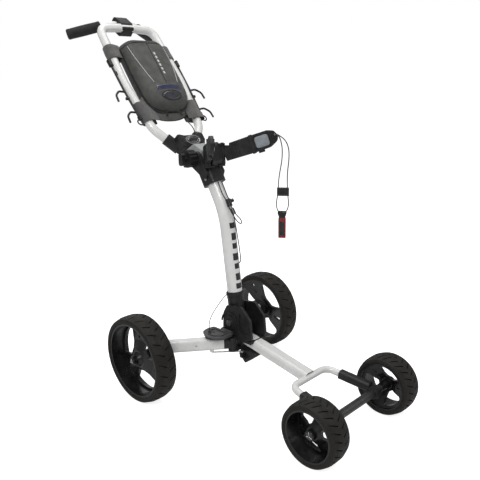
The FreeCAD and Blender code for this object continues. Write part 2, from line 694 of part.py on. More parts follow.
def leg_end(side):
    """The wheel mount at the leg's outer end, which drops to the axle."""
    inner_face = (REAR_TRACK - REAR_WHEEL_W) / 2.0
    low_x, high_x = LEG_MOUNT_X - 6, inner_face - 1.5
    block = side_prism([(-44, 146), (-44, 194), (14, 190), (18, 134), (-8, 126)],
                       [12, 12, 14, 16, 16], low_x, high_x)
    end = leg_point(leg_length())
    socket = rounded_bar(leg_point(leg_length() - 22), end + LEG_DIRECTION * 8, LEG_W + 5, LEG_H + 5, 14)
    body = fused(block, socket)
    leg = rounded_bar(leg_point(LEG_ROOT_L), end, LEG_W, LEG_H, LEG_W / 2.0 - 0.5)
    axle = cylinder(V(LEG_MOUNT_X - 20, 0, REAR_WHEEL_R), X_AXIS, AXLE_R, 60)
    return on_side(body.cut(leg).cut(axle), side)


def rear_axle(side):
    """The stub axle that carries one rear wheel."""
    outer = REAR_TRACK / 2.0 + REAR_WHEEL_W * 0.31 + 0.2
    start = LEG_MOUNT_X - 5
    return on_side(cylinder(V(start, 0, REAR_WHEEL_R), X_AXIS, AXLE_R, outer - start), side)


def slider_bracket():
    """The V-shaped bracket under the hub that carries the link rods' inner ends."""
    blade = side_prism([(-169, 116), (-199, 90), (-252, 132), (-246, SLIDER_TOP),
                        (-180, SLIDER_TOP)], [4, 6, 4, 3, 4], -13, 13)
    notch = side_prism([(-190, 112), (-200, 104), (-224, 122), (-216, 128), (-196, 128)],
                       [3, 3, 3, 3, 3], 6, 14)
    body = blade.cut(both_sides(notch))
    arm = box(V(-26, SLIDER_PIN.y - 5, 112), V(26, SLIDER_PIN.y + 5, ROD_Z - 16))
    pins = [cylinder(V(side * SLIDER_PIN.x, SLIDER_PIN.y, ROD_Z - 17), Z_AXIS, ROD_R, 19)
            for side in (NEAR, FAR)]
    return fused(body, arm, *pins)


def link_rod(side):
    """A rod from the leg to the bracket, hooked up into the leg and looped round the pin."""
    foot = leg_point(ROD_LEG_REACH)
    outer = V(foot.x, foot.y, ROD_Z)
    inner = V(SLIDER_PIN.x, SLIDER_PIN.y, ROD_Z - 4)
    toward = (outer - inner).normalize()
    eye = ring(inner - V(0, 0, 2.4), Z_AXIS, ROD_R + PIN_SLACK + 2.4, ROD_R + PIN_SLACK, 4.8)
    bar = rod(inner + toward * (ROD_R + PIN_SLACK + 1.2), outer, ROD_R)
    hook = cylinder(outer - V(0, 0, ROD_R * 0.4), Z_AXIS, ROD_R, 16)
    return on_side(fused(eye, bar, hook, Part.makeSphere(ROD_R, outer)), side)


# ---- tilt joint and handle --------------------------------------------------
def tilt_tongue():
    """The light wedge between the sleeve's cheeks that carries the handle."""
    half = TONGUE_HALF_W
    knuckle = cylinder(V(-half, TILT_PIN.y, TILT_PIN.z), X_AXIS, 24, 2 * half)
    neck = side_prism([(-20, 764), (-24, 790), (14, 806), (66, 776), (24, 752)],
                      [8, 8, 4, 4, 10], -half, half)
    body = fused(knuckle, neck)
    trim = on_handle(box(V(-60, SADDLE_LOW, -60), V(60, SADDLE_LOW + 80, 80)))
    return body.cut(trim).cut(cylinder(V(-60, TILT_PIN.y, TILT_PIN.z), X_AXIS, TILT_PIN_R + 0.08, 120))


def loop_points():
    """The handle loop's centre line in the handle's plane, from saddle to saddle."""
    half = [(44, -82), (98, -10), (LOOP_HALF_W, 165), (108, LOOP_TOP - LOOP_CROWN)]
    far = [V(x, along, 0) for x, along in half]
    near = [V(-x, along, 0) for x, along in reversed(half)]
    return far + [V(0, LOOP_TOP, 0)] + near


def handle_loop():
    """The hollow loop tube."""
    return on_handle(bent_tube(loop_points(), LOOP_RADII, LOOP_R, LOOP_WALL))


def loop_outer(extra=0.0):
    """The loop's outer shape, grown by a clearance."""
    return sweep_circle(arc_path(loop_points(), LOOP_RADII), LOOP_R + extra)


def saddle():
    """The casting that joins the loop's two ends, with a raised ear over each of them."""
    low_n, high_n = SADDLE_N
    half = SADDLE_HALF_W
    core = prism([(-half + 12, SADDLE_LOW), (half - 12, SADDLE_LOW), (half, SADDLE_LOW + 20),
                  (half, SADDLE_HIGH), (-half, SADDLE_HIGH), (-half, SADDLE_LOW + 20)],
                 [12, 12, 10, 6, 6, 10], high_n - low_n, low_n)
    dip = cylinder(V(0, SADDLE_HIGH + 96, low_n - 1), Z_AXIS, 104, high_n - low_n + 2)
    core = core.cut(dip)
    parts = [core]
    for side in (NEAR, FAR):
        start = V(side * 36, -92, 0)
        end = V(side * 68, -49, 0)
        parts.append(rod(start, end, LOOP_R + 5))
    body = fused(*parts)
    seat = prism([(-38, SADDLE_LOW + 2), (38, SADDLE_LOW + 2), (38, -68), (-38, -68)],
                 [17, 17, 17, 17], 4, high_n - 3)
    body = body.fuse(seat.common(box(V(-40, -120, high_n - 3), V(40, -60, high_n + 1)))).removeSplitter()
    return on_handle(body.cut(loop_outer()).cut(tether_hole()))


def tether_hole():
    """A blind slot in the saddle's underside for the tether's end."""
    return cylinder(V(TETHER_X, -66, SADDLE_N[1] - 8), V(0, 1, 0), CORD_R + 0.1, 8)


def saddle_badge():
    """A plain oval plate with a raised rim on the saddle's face."""
    base = SADDLE_N[1] + 1.0
    plate = Part.Face(Part.Wire([Part.Ellipse(V(0, -88, base), 27, 15).toShape()]))
    rim_outer = Part.Face(Part.Wire([Part.Ellipse(V(0, -88, base), 30, 18).toShape()]))
    rim_inner = Part.Face(Part.Wire([Part.Ellipse(V(0, -88, base), 26, 14).toShape()]))
    up = V(0, 0, 1)
    body = fused(plate.extrude(up * 2.0), rim_outer.cut(rim_inner).extrude(up * 3.5))
    return on_handle(body)


def bar_clamp():
    """The block that clamps the handlebar to the top of the loop."""
    half = CLAMP_HALF_W
    block = side_prism([(LOOP_TOP - 20, -22), (LOOP_TOP - 14, 12), (LOOP_TOP + 8, 16),
                        (BAR_S + 24, 0), (BAR_S + 24, -26), (LOOP_TOP + 6, -32)],
                       [8, 10, 10, 12, 12, 10], -half, half)
    bar = cylinder(V(-60, BAR_S, BAR_N), X_AXIS, BAR_R + 0.05, 120)
    slit = box(V(-60, BAR_S, BAR_N - 0.8), V(60, BAR_S + 40, BAR_N + 0.8))
    bolt = cylinder(V(0, BOLT_S, -40), Z_AXIS, BOLT_R, 70)
    return on_handle(block.cut(loop_outer()).cut(bar).cut(slit).cut(bolt))


def clamp_bolt():
    """The clamp's bolt with its small finger knob underneath."""
    return on_handle(fused(cylinder(V(0, BOLT_S, -34), Z_AXIS, BOLT_R, 36),
                           cylinder(V(0, BOLT_S, -42), Z_AXIS, 9, 13)))


def handlebar():
    """The swept-back handlebar."""
    flat = V(BAR_HALF_FLAT, 0, 0)
    points = [V(-BAR_END.x, BAR_END.y, BAR_END.z), flat * -1, flat, BAR_END]
    centre = handle_point(0, BAR_S, BAR_N)
    return bent_tube([point + centre for point in points], [52, 52], BAR_R, BAR_WALL)


def grips():
    """The two foam grips, closed at their outer ends."""
    centre = handle_point(0, BAR_S, BAR_N)
    end = centre + BAR_END
    axis = (BAR_END - V(BAR_HALF_FLAT, 0, 0)).normalize()
    start = end - axis * GRIP_L
    body = cylinder(start, axis, GRIP_R, GRIP_L + 4)
    body = body.makeFillet(3.5, [edge for edge in body.Edges if edge.Curve.TypeId == "Part::GeomCircle"])
    return both_sides(body.cut(cylinder(start - axis, axis, BAR_R, GRIP_L + 1)))


def tilt_knob():
    """The ribbed clamping knob with its threaded stud through the joint."""
    base = -(SLEEVE_OUTER + 7.5)
    body = cylinder(V(base, TILT_PIN.y, TILT_PIN.z), X_AXIS * -1, KNOB_R, KNOB_T)
    notches = []
    for index in range(KNOB_RIBS):
        angle = 2 * math.pi * index / KNOB_RIBS
        centre = V(base + 5, TILT_PIN.y + (KNOB_R + 3) * math.cos(angle),
                   TILT_PIN.z + (KNOB_R + 3) * math.sin(angle))
        notches.append(cylinder(centre, X_AXIS * -1, 5.2, KNOB_T + 10))
    body = body.cut(Part.makeCompound(notches))
    stud = cylinder(V(base - 6, TILT_PIN.y, TILT_PIN.z), X_AXIS, TILT_PIN_R, 2 * SLEEVE_OUTER + 30)
    cap = cylinder(V(SLEEVE_OUTER + 7.5, TILT_PIN.y, TILT_PIN.z), X_AXIS, 10, 6)
    return fused(body, stud, cap)


def knob_lever():
    """The T-shaped thumb piece on the knob's face."""
    base = -(SLEEVE_OUTER + 7.5 + KNOB_T)
    stem = cylinder(V(base, TILT_PIN.y, TILT_PIN.z), X_AXIS * -1, 9, 12)
    y, z = TILT_PIN.y, TILT_PIN.z
    bar = side_prism([(y - 9, z - 20), (y + 9, z - 20), (y + 9, z + 20), (y - 9, z + 20)],
                     [8, 8, 8, 8], base - 21, base - 9)
    return fused(stem, bar)


# ---- console ----------------------------------------------------------------
def console_outline(out, inset, low=CONSOLE_LOW, top=CONSOLE_TOP):
    """The console's rounded outline at a height above the handle's plane."""
    half = CONSOLE_HALF_W - inset
    corners = [(-half * 0.93, low + inset), (half * 0.93, low + inset), (half, low + 120),
               (half * 0.94, top - inset * 0.6), (-half * 0.94, top - inset * 0.6), (-half, low + 120)]
    points = [V(x, along, out) for x, along in corners]
    bottom = half * 0.62
    return arc_path(points, [bottom, bottom, 300, 30, 30, 300], closed=True)


def console_tray():
    """The open tray of the console, with the fixed brow over the lid's hinge."""
    outer = lofted([console_outline(CONSOLE_FLOOR, 10), console_outline(CONSOLE_FLOOR + 8, 2),
                    console_outline(CONSOLE_RIM, 0)])
    inner = lofted([console_outline(CONSOLE_FLOOR + CONSOLE_WALL, 12 + CONSOLE_WALL),
                    console_outline(CONSOLE_RIM + 1, CONSOLE_WALL)])
    body = outer.cut(inner)
    brow = lofted([console_outline(CONSOLE_RIM, 0), console_outline(CONSOLE_RIM + 16, 5),
                   console_outline(LID_TOP - 6, 14), console_outline(LID_TOP, 26)])
    hollow = lofted([console_outline(CONSOLE_RIM - 1, CONSOLE_WALL),
                     console_outline(CONSOLE_RIM + 16, 5 + CONSOLE_WALL),
                     console_outline(LID_TOP - CONSOLE_WALL - 1, 24)])
    keep = box(V(-200, LID_HINGE + LID_GAP, CONSOLE_RIM - 2), V(200, 400, 100))
    swing = box(V(-200, LID_HINGE, HINGE_OUT - 0.1), V(200, LID_HINGE + 3.2, LID_TOP + 5))
    brow = brow.cut(hollow).common(keep).cut(swing)
    bead = hinge_bead(HINGE_BEAD_R)
    return on_handle(fused(body, brow, bead))


def hinge_bead(radius):
    """The round bead along the lid's hinge line."""
    return cylinder(V(-52, LID_HINGE + LID_GAP / 2.0, HINGE_OUT), X_AXIS, radius, 104)


def console_lid():
    """The domed lid, hinged at its upper end."""
    shell = lofted([console_outline(CONSOLE_RIM + LID_GAP, 0), console_outline(CONSOLE_RIM + 16, 5),
                    console_outline(LID_TOP - 6, 14), console_outline(LID_TOP, 26)])
    hollow = lofted([console_outline(CONSOLE_RIM - 1, CONSOLE_WALL),
                     console_outline(CONSOLE_RIM + 16, 5 + CONSOLE_WALL),
                     console_outline(LID_TOP - CONSOLE_WALL - 1, 24)])
    keep = box(V(-200, -50, CONSOLE_RIM + LID_GAP - 0.1), V(200, LID_HINGE, 100))
    return on_handle(shell.cut(hollow).common(keep).cut(hinge_bead(HINGE_BEAD_R + 0.3)))


def lid_trim():
    """The glossy label strip and the oval pad on the lid's lower end."""
    strip = prism([(-44, 106), (44, 106), (46, 120), (-46, 120)], [3, 3, 3, 3], 2.0, LID_TOP)
    oval = Part.Face(Part.Wire([Part.Ellipse(V(0, 84, LID_TOP), 34, 15).toShape()]))
    oval = oval.extrude(V(0, 0, 2.0))
    return on_handle(Part.makeCompound([strip, oval]))


def console_wraps():
    """The four fabric tabs that wrap the console to the loop's tubes."""
    shapes = []
    for low, high in WRAP_SPANS:
        slab = box(V(70, low, -LOOP_R - WRAP_T), V(150, high, LOOP_R + WRAP_T))
        jacket = loop_outer(WRAP_T).cut(loop_outer(SOFT_GAP)).common(slab)
        flap = box(V(CONSOLE_HALF_W - 8, low, -2), V(124, high, 2)).cut(loop_outer(SOFT_GAP + 0.5))
        tray = lofted([console_outline(CONSOLE_FLOOR - 1, 10 - SOFT_GAP),
                       console_outline(CONSOLE_FLOOR + 8, 2 - SOFT_GAP),
                       console_outline(CONSOLE_RIM, -SOFT_GAP)])
        foot = box(V(100, 25, -3), V(150, 41, 9))
        inside = box(V(0, low - 1, -40), V(98, high + 1, 40))
        flap = flap.common(inside).cut(tray)
        tab = fused(jacket, flap).cut(foot)
        shapes += [tab, on_side(tab, NEAR)]
    return on_handle(Part.makeCompound(shapes))


def hook_rail(side):
    """The slim rail outside the loop's tube, with two hooks, a peg and a ring."""
    points = [V(138, 246, 4), V(137, 140, 4), V(130, 30, 4)]
    bar = sweep_circle(arc_path(points, [300]), 3.6)
    head = fused(cylinder(V(138, 236, 4), Y_AXIS, 8, 22), box(V(130, 238, 1), V(138, 256, 7)))
    parts = [bar, head]
    for along in (134, 54):
        root = V(136 if along > 100 else 131.5, along, 4)
        hook_points = [root, root + V(24, 2, 2), root + V(42, -14, 4), root + V(44, -38, 4)]
        hook = sweep_circle(arc_path(hook_points, [16, 18]), 3.4)
        parts.append(hook)
    parts.append(cylinder(V(134, 108, 4), V(1, 0, 0), 5, 10))
    parts.append(box(V(116, 26, -2), V(134, 40, 8)))
    ring_part = Part.makeTorus(10, 2.2, V(134.2, 17, 4), V(0, 0, 1))
    parts.append(ring_part)
    foot = box(V(118, 200, 1), V(138, 214, 7))
    parts.append(foot)
    body = fused(*parts).cut(loop_outer(0.02))
    solids = sorted(body.Solids, key=lambda solid: solid.Volume)
    return on_side(on_handle(solids[-1]), side)


# ---- bag cradle -------------------------------------------------------------
def cradle_base():
    """The saddle on the mast that carries the two arms."""
    front = side_prism([(-64, 738), (-30, 742), (-28, 800), (-50, 816), (-68, 806), (-76, 760)],
                       [8, 6, 6, 10, 10, 10], -20.5, 20.5)
    post = cylinder(V(ARM_PIN_X, ARM_PIN_Y, 740), Z_AXIS, 5, 72)
    ears = [box(V(10, ARM_PIN_Y - 9, z), V(ARM_PIN_X, ARM_PIN_Y + 9, z + 6)) for z in (738, 804)]
    ear_rounds = [cylinder(V(ARM_PIN_X, ARM_PIN_Y, z), Z_AXIS, 9, 6) for z in (738, 804)]
    half = fused(post, *ears, *ear_rounds)
    body = fused(front, half, on_side(half, NEAR))
    swing = cylinder(V(-60, TILT_PIN.y, TILT_PIN.z), X_AXIS, 27, 120)
    body = body.cut(swing).cut(upper_sleeve()).cut(mast_outer())
    return max(body.Solids, key=lambda solid: solid.Volume)


def cradle_arm(side):
    """A curved arm of the cradle, ribbed at its root and framed like a buckle at its tip."""
    frame, wide = ARM_L - 60, ARM_L - 10
    profile = [(8, -26), (60, -27), (frame, -28), (wide, -26), (ARM_L + 14, -14), (ARM_L + 20, 0),
               (ARM_L + 12, 20), (wide, 28), (frame, 28), (60, 27), (8, 26)]
    points = [V(x, -ARM_T / 2.0, z) for x, z in profile]
    face = Part.Face(arc_path(points, [4, 0, 0, 30, 16, 10, 16, 30, 0, 0, 4], closed=True))
    band = face.extrude(V(0, ARM_T, 0))
    ribs = [box(V(x, -ARM_T / 2.0 - 3, -22), V(x + 4.5, 1 - ARM_T / 2.0, 22))
            for x in (16, 25, 34, 43, 52)]
    tip_ribs = [box(V(ARM_L + x, -ARM_T / 2.0 - 2.5, -9), V(ARM_L + x + 3, 1 - ARM_T / 2.0, 14))
                for x in (-4, 2, 8)]
    collar = box(V(frame - 12, -ARM_T / 2.0 - 3, -30), V(frame - 2, ARM_T / 2.0 + 3, 30))
    tab = box(V(frame + 6, 4 - ARM_T / 2.0, -34), V(frame + 26, ARM_T / 2.0, -26))
    body = fused(band, collar, tab, *ribs, *tip_ribs)
    hollow = box(V(frame + 2, -ARM_T / 2.0 - 10, -20), V(ARM_L - 8, 4 - ARM_T / 2.0, 21))
    eye = cylinder(V(ARM_L + 12, -30, 8), Y_AXIS, CORD_R + 1.2, 60)
    body = body.cut(hollow).cut(eye)
    body.Placement = FreeCAD.Placement(V(ARM_PIN_X, ARM_PIN_Y, ARM_Z), ARM_TURN)
    clear = cylinder(V(ARM_PIN_X, ARM_PIN_Y, 700), Z_AXIS, 5.1, 140)
    room = cylinder(V(ARM_PIN_X, ARM_PIN_Y, 700), Z_AXIS, 24, 200)
    slab = box(V(-300, -500, 744.5), V(300, 60, 803.5))
    knuckle = cylinder(V(ARM_PIN_X, ARM_PIN_Y, 744.5), Z_AXIS, 10, 59)
    root = fused(body.common(slab).common(room), knuckle)
    return on_side(fused(root, body.cut(room)).cut(clear), side)


def cradle_pad(side):
    """The pale cushion in the arm's buckle frame."""
    pad = box(V(ARM_L - 57.6, -ARM_T / 2.0 - 4, -19.6), V(ARM_L - 8.4, 3.6 - ARM_T / 2.0, 20.6))
    edges = [edge for edge in pad.Edges if edge.Length < 9]
    pad = pad.makeFillet(7.0, edges)
    pad.Placement = FreeCAD.Placement(V(ARM_PIN_X, ARM_PIN_Y, ARM_Z), ARM_TURN)
    return on_side(pad, side)


# ---- cords ------------------------------------------------------------------
def corner_radii(points):
    """The arc radius at each inner point: 0.45 of the shorter run over the half-turn's tangent."""
    radii = []
    for index in range(1, len(points) - 1):
        before = points[index] - points[index - 1]
        after = points[index + 1] - points[index]
        half = turn_angle(before.normalize(), after.normalize()) / 2.0
        shorter = min((points[index] - points[index - 1]).Length,
                      (points[index + 1] - points[index]).Length)
        radii.append(0.45 * shorter / math.tan(half))
    return radii


def cord(name, points, radius):
    """A cord's tube through hand-set points, with its radii and volume printed."""
    radii = corner_radii(points)
    path = arc_path(points, radii)
    body = sweep_circle(path, radius)
    ideal = math.pi * radius * radius * path.Length
    print(name, "smallest arc", round(min(radii), 1), "of", [round(r, 1) for r in radii],
          "length", round(path.Length, 1), "volume ratio", round(body.Volume / ideal, 4))
    return body


def hang_point(along, z, out=0.0):
    """A point in the upright plane that the far cradle arm lies in."""
    spread = math.radians(ARM_SPREAD)
    forward = V(math.sin(spread), -math.cos(spread), 0)
    return V(15, -40, z) + forward * along + V(forward.y, -forward.x, 0) * out


# Along, height and offset of the elastic loop that hangs from the far arm's eye.
BUNGEE_ROUTE = [(198, 840, 1), (198, 841, 12), (204, 842, 21), (214, 836, 22), (219, 820, 12),
                (223, 795, 4), (222, 761, 1), (216, 727, 0), (211, 695, 0), (210, 664, 0),
                (207, 638, 0), (203, 616, 0), (207, 595, 0), (216, 582, 0), (230, 582, 0),
                (240, 595, 0), (245, 615, 0), (242, 638, 0), (240, 664, 0), (239, 694, 0),
                (240, 726, 0), (244, 758, -1), (244, 790, -3), (237, 812, -7), (226, 825, -14),
                (214, 832, -21), (204, 838, -21), (198, 841, -12), (198, 840, -1)]
RELEASE_LOOP = [(-9, -82.3, 693.5), (-10, -92.5, 675), (-10, -103, 656), (-9, -116, 641),
                (-8, -127, 622), (-5, -136, 603), (-5, -149, 590), (-7, -161, 579), (-4, -170, 571),
                (3, -174, 568), (10, -170, 571), (12, -161, 580), (8, -148, 591), (4, -137, 605),
                (1, -130, 622), (2, -123, 637), (5, -107, 653), (6, -96, 672), (6, -84, 692.5)]
RELEASE_LINE = [(1, -140, 600), (8, -137, 580), (12, -139, 553), (16, -141.5, 521), (18, -146, 489),
                (19, -150, 460), (18.5, -153, 441), (17, -151.5, 430), (10, -140, 424), (4, -129, 421)]
RELEASE_CABLE = [(-13, -136, 331), (-24, -126, 323), (-36, -116, 305), (-52, -107, 281),
                 (-70, -103, 259), (-87, -106, 238), (-97.5, -116.5, 221), (-99, -119, 208.8)]
TETHER_ROUTE = [(TETHER_X, -66, SADDLE_N[1] - 8), (TETHER_X + 2, -48, 31), (42, -30, 26),
                (50, -12, 14), (57, 6, 2), (62, 24, -6)]


def vectors(points):
    """Turns triples into vectors."""
    return [V(*point) for point in points]


def bungee_cord():
    """The elastic loop of the far arm, drawn through the adjuster and the pull tab."""
    return cord("bungee_cord", [hang_point(*point) for point in BUNGEE_ROUTE], CORD_R)


def bungee_adjuster():
    """The moulded slide that gathers the loop's two strands."""
    low, high = hang_point(206, 642), hang_point(245, 642)
    body = rounded_bar(low, high, 9, 28, 3.5)
    body.translate(V(0, 0, 14))
    lip = rounded_bar(low, high, 11, 4, 1.5)
    lips = [lip.copy() for _ in range(2)]
    lips[0].translate(V(0, 0, 3))
    lips[1].translate(V(0, 0, 25))
    return fused(body, *lips).cut(bungee_cord())


def pull_tab():
    """The pull tab that the loop is drawn through, with its darker grip band."""
    low, high = hang_point(210, 500), hang_point(236, 500)
    tab = rounded_bar(low, high, 6, 76, 2.5)
    tab.translate(V(0, 0, 38))
    neck = rounded_bar(hang_point(209, 583), hang_point(237, 583), 8, 18, 2.5)
    return fused(tab, neck).cut(bungee_cord())


def release_cord():
    """The doubled upper end of the release cord with its finger loop."""
    return cord("release_cord", vectors(RELEASE_LOOP), CORD_R)


def release_line():
    """The release cord's single run down the mast and into it."""
    return cord("release_line", vectors(RELEASE_LINE), CORD_R)


def cord_lock():
    """The sprung toggle on the two strands and the stopper below it."""
    barrel = rod(V(-4, -121, 641), V(-4, -131.5, 619), 9)
    button = rod(V(3, -124, 633), V(14, -128, 637), 6)
    stopper = rod(V(0, -135, 612), V(0, -146, 596), 6.5)
    line = [release_cord(), release_line()]
    toggle = fused(barrel, button)
    return Part.makeCompound([piece.cut(line[0]).cut(line[1]) for piece in (toggle, stopper)])


def release_cable():
    """The release line's lower end, from the mast down to the foot plate."""
    return cord("release_cable", vectors(RELEASE_CABLE), CABLE_R)


def console_tether():
    """The short elastic between the console and the saddle."""
    return cord("console_tether", [handle_point(*point) for point in TETHER_ROUTE], CORD_R)


# ---- the cart ---------------------------------------------------------------
def wheel_nodes():
    """Tyre and rim of the four wheels and the rear wheels' release buttons."""
    nodes = {}
    rear = (REAR_WHEEL_R, REAR_WHEEL_W, REAR_TYRE_DEPTH)
    front = (FRONT_WHEEL_R, FRONT_WHEEL_W, FRONT_TYRE_DEPTH)
    for end, size, track, y, turns in (("rear", rear, REAR_TRACK, 0.0, REAR_RIM_TURN),
                                       ("front", front, FRONT_TRACK, -WHEELBASE, FRONT_RIM_TURN)):
        pieces = {"tyre": tyre(*size), "rim": rim(*size, nose=end == "rear")}
        if end == "rear":
            pieces["button"] = cap_button(size[1])
        for piece, shape in pieces.items():
            for side, name in SIDE_NAMES.items():
                turned = shape.copy()
                if piece != "tyre":
                    turned.rotate(V(0, 0, 0), X_AXIS, turns[side])
                nodes[f"{end}_{piece}_{name}"] = wheel_place(turned, side, track, y, size[0])
    return nodes


def leg_nodes():
    """The pieces that each side has one of."""
    makers = {"leg_tube": leg_tube, "leg_root": leg_root, "leg_end": leg_end,
              "rear_axle": rear_axle, "link_rod": link_rod, "cradle_arm": cradle_arm,
              "cradle_pad": cradle_pad}
    nodes = {}
    for piece, maker in makers.items():
        for side, name in SIDE_NAMES.items():
            nodes[f"{piece}_{name}"] = maker(side)
    return nodes


def hook_rails():
    """The rails on both sides of the loop."""
    return Part.makeCompound([hook_rail(side) for side in (NEAR, FAR)])


SINGLE_PIECES = [fold_hub, pivot_pins, release_plate, front_beam, front_bow, bow_sleeves,
                 front_axle, mast_foot, mast_tube, upper_sleeve, frame_screws, cradle_base,
                 slider_bracket, tilt_tongue, handle_loop, saddle, saddle_badge, bar_clamp,
                 clamp_bolt, handlebar, grips, tilt_knob, knob_lever, console_tray, console_lid,
                 lid_trim, console_wraps, hook_rails, bungee_cord, bungee_adjuster, pull_tab,
                 release_cord, release_line, cord_lock, release_cable, console_tether]


def main():
    """Builds every piece, centres the cart on the origin and writes the files."""
    os.makedirs("parts", exist_ok=True)
    nodes = {maker.__name__: maker() for maker in SINGLE_PIECES}
    nodes.update(leg_nodes())
    nodes.update(wheel_nodes())
    whole = FreeCAD.BoundBox()
    for shape in nodes.values():
        whole.add(shape.optimalBoundingBox(False))
    shift = V(0, -round(whole.Center.y, 3), 0)
    print("moved by", round(shift.y, 3), "box", whole)
    for name, shape in nodes.items():
        shape.translate(shift)
        solids = len(shape.Solids)
        print(f"{name:20s} solids {solids} volume {shape.Volume / 1000:9.2f} cm3 valid {shape.isValid()}")
        shape.exportStep(f"parts/{name}.step")


if __name__ == "__main__":
    main()
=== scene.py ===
import logging
import math
from dataclasses import dataclass
from enum import Enum
from typing import Callable, Sequence

import bpy
from mathutils import Matrix, Vector


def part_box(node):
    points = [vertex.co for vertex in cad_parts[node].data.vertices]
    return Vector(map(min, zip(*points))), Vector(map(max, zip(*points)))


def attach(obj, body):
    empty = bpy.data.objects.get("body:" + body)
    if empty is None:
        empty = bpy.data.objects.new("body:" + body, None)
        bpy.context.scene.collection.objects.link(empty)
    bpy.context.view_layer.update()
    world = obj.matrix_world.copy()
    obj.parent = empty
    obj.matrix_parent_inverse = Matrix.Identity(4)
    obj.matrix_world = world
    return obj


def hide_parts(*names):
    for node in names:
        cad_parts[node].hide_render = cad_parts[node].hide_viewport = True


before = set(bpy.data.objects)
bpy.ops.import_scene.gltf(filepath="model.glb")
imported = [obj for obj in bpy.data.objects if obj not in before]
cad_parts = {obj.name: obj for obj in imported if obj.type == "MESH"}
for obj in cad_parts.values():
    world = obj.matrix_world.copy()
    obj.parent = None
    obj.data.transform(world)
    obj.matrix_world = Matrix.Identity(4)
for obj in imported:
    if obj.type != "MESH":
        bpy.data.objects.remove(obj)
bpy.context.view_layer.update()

LOG = logging.getLogger("cart")
Colour = tuple[float, float, float]
Point = tuple[float, float, float]
Flat = tuple[float, float]
MM = 0.001
HANDLE_LEAN = math.radians(51.66)
HANDLE_FOOT: Point = (0, 131, 859)
ARM_SPREAD = math.radians(37)
ARM_RISE = math.radians(18)
ARM_PIN: Point = (32, -62, 776)
HANG_FOOT: Flat = (15, -40)


class Body(str, Enum):
    """The moving bodies that pieces ride on."""

    FRAME = "frame"
    MAST = "mast"
    HANDLE = "handle"
    LID = "lid"
    BAR = "steering_bar"
    ARM_NEAR = "cradle_near"
    ARM_FAR = "cradle_far"
    LEG_NEAR = "leg_near"
    LEG_FAR = "leg_far"


class Side(Enum):
    """The cart's two sides, as the sign of X."""

    NEAR = -1
    FAR = 1

    @property
    def label(self) -> str:
        """The side's name in the model."""
        return self.name.lower()


# ---- places -----------------------------------------------------------------
def axle_line() -> float:
    """Y of the rear axle in the model, in metres."""
    low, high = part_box("rear_tyre_far")
    return (low.y + high.y) / 2


AXLE_Y = axle_line()


def cart(x: float, y: float, z: float) -> Vector:
    """A place in millimetres from the ground point under the rear axle, in metres."""
    return Vector((x * MM, y * MM + AXLE_Y, z * MM))


@dataclass(frozen=True)
class Plane:
    """A working plane: an origin and three directions, measured in millimetres."""

    origin: Vector
    across: Vector
    along: Vector
    out: Vector

    def at(self, across: float, along: float, out: float = 0.0) -> Vector:
        """The point at three distances in millimetres, in metres."""
        return self.origin + (self.across * across + self.along * along + self.out * out) * MM


def handle_plane() -> Plane:
    """The plane of the handle's loop."""
    turn = Matrix.Rotation(HANDLE_LEAN, 3, "X")
    return Plane(cart(*HANDLE_FOOT), *[turn @ Vector(axis) for axis in ((1, 0, 0), (0, 1, 0), (0, 0, 1))])


def arm_plane(side: Side) -> Plane:
    """The plane of one cradle arm's face: out along the arm, up, and towards the bag."""
    turn = Matrix.Rotation(ARM_SPREAD - math.pi / 2, 3, "Z") @ Matrix.Rotation(-ARM_RISE, 3, "Y")
    flip = Matrix.Diagonal((side.value, 1, 1))
    axes = [flip @ (turn @ Vector(axis)) for axis in ((1, 0, 0), (0, 0, 1), (0, -1, 0))]
    across, ahead, up = ARM_PIN
    return Plane(cart(side.value * across, ahead, up), *axes)


HANDLE = handle_plane()


def hang_point(along: float, z: float, out: float = 0.0) -> Vector:
    """A place in the upright plane in which the far arm lies."""
    ahead = Vector((math.sin(ARM_SPREAD), -math.cos(ARM_SPREAD), 0))
    place = Vector((*HANG_FOOT, z)) + ahead * along + Vector((ahead.y, -ahead.x, 0)) * out
    return cart(*place)


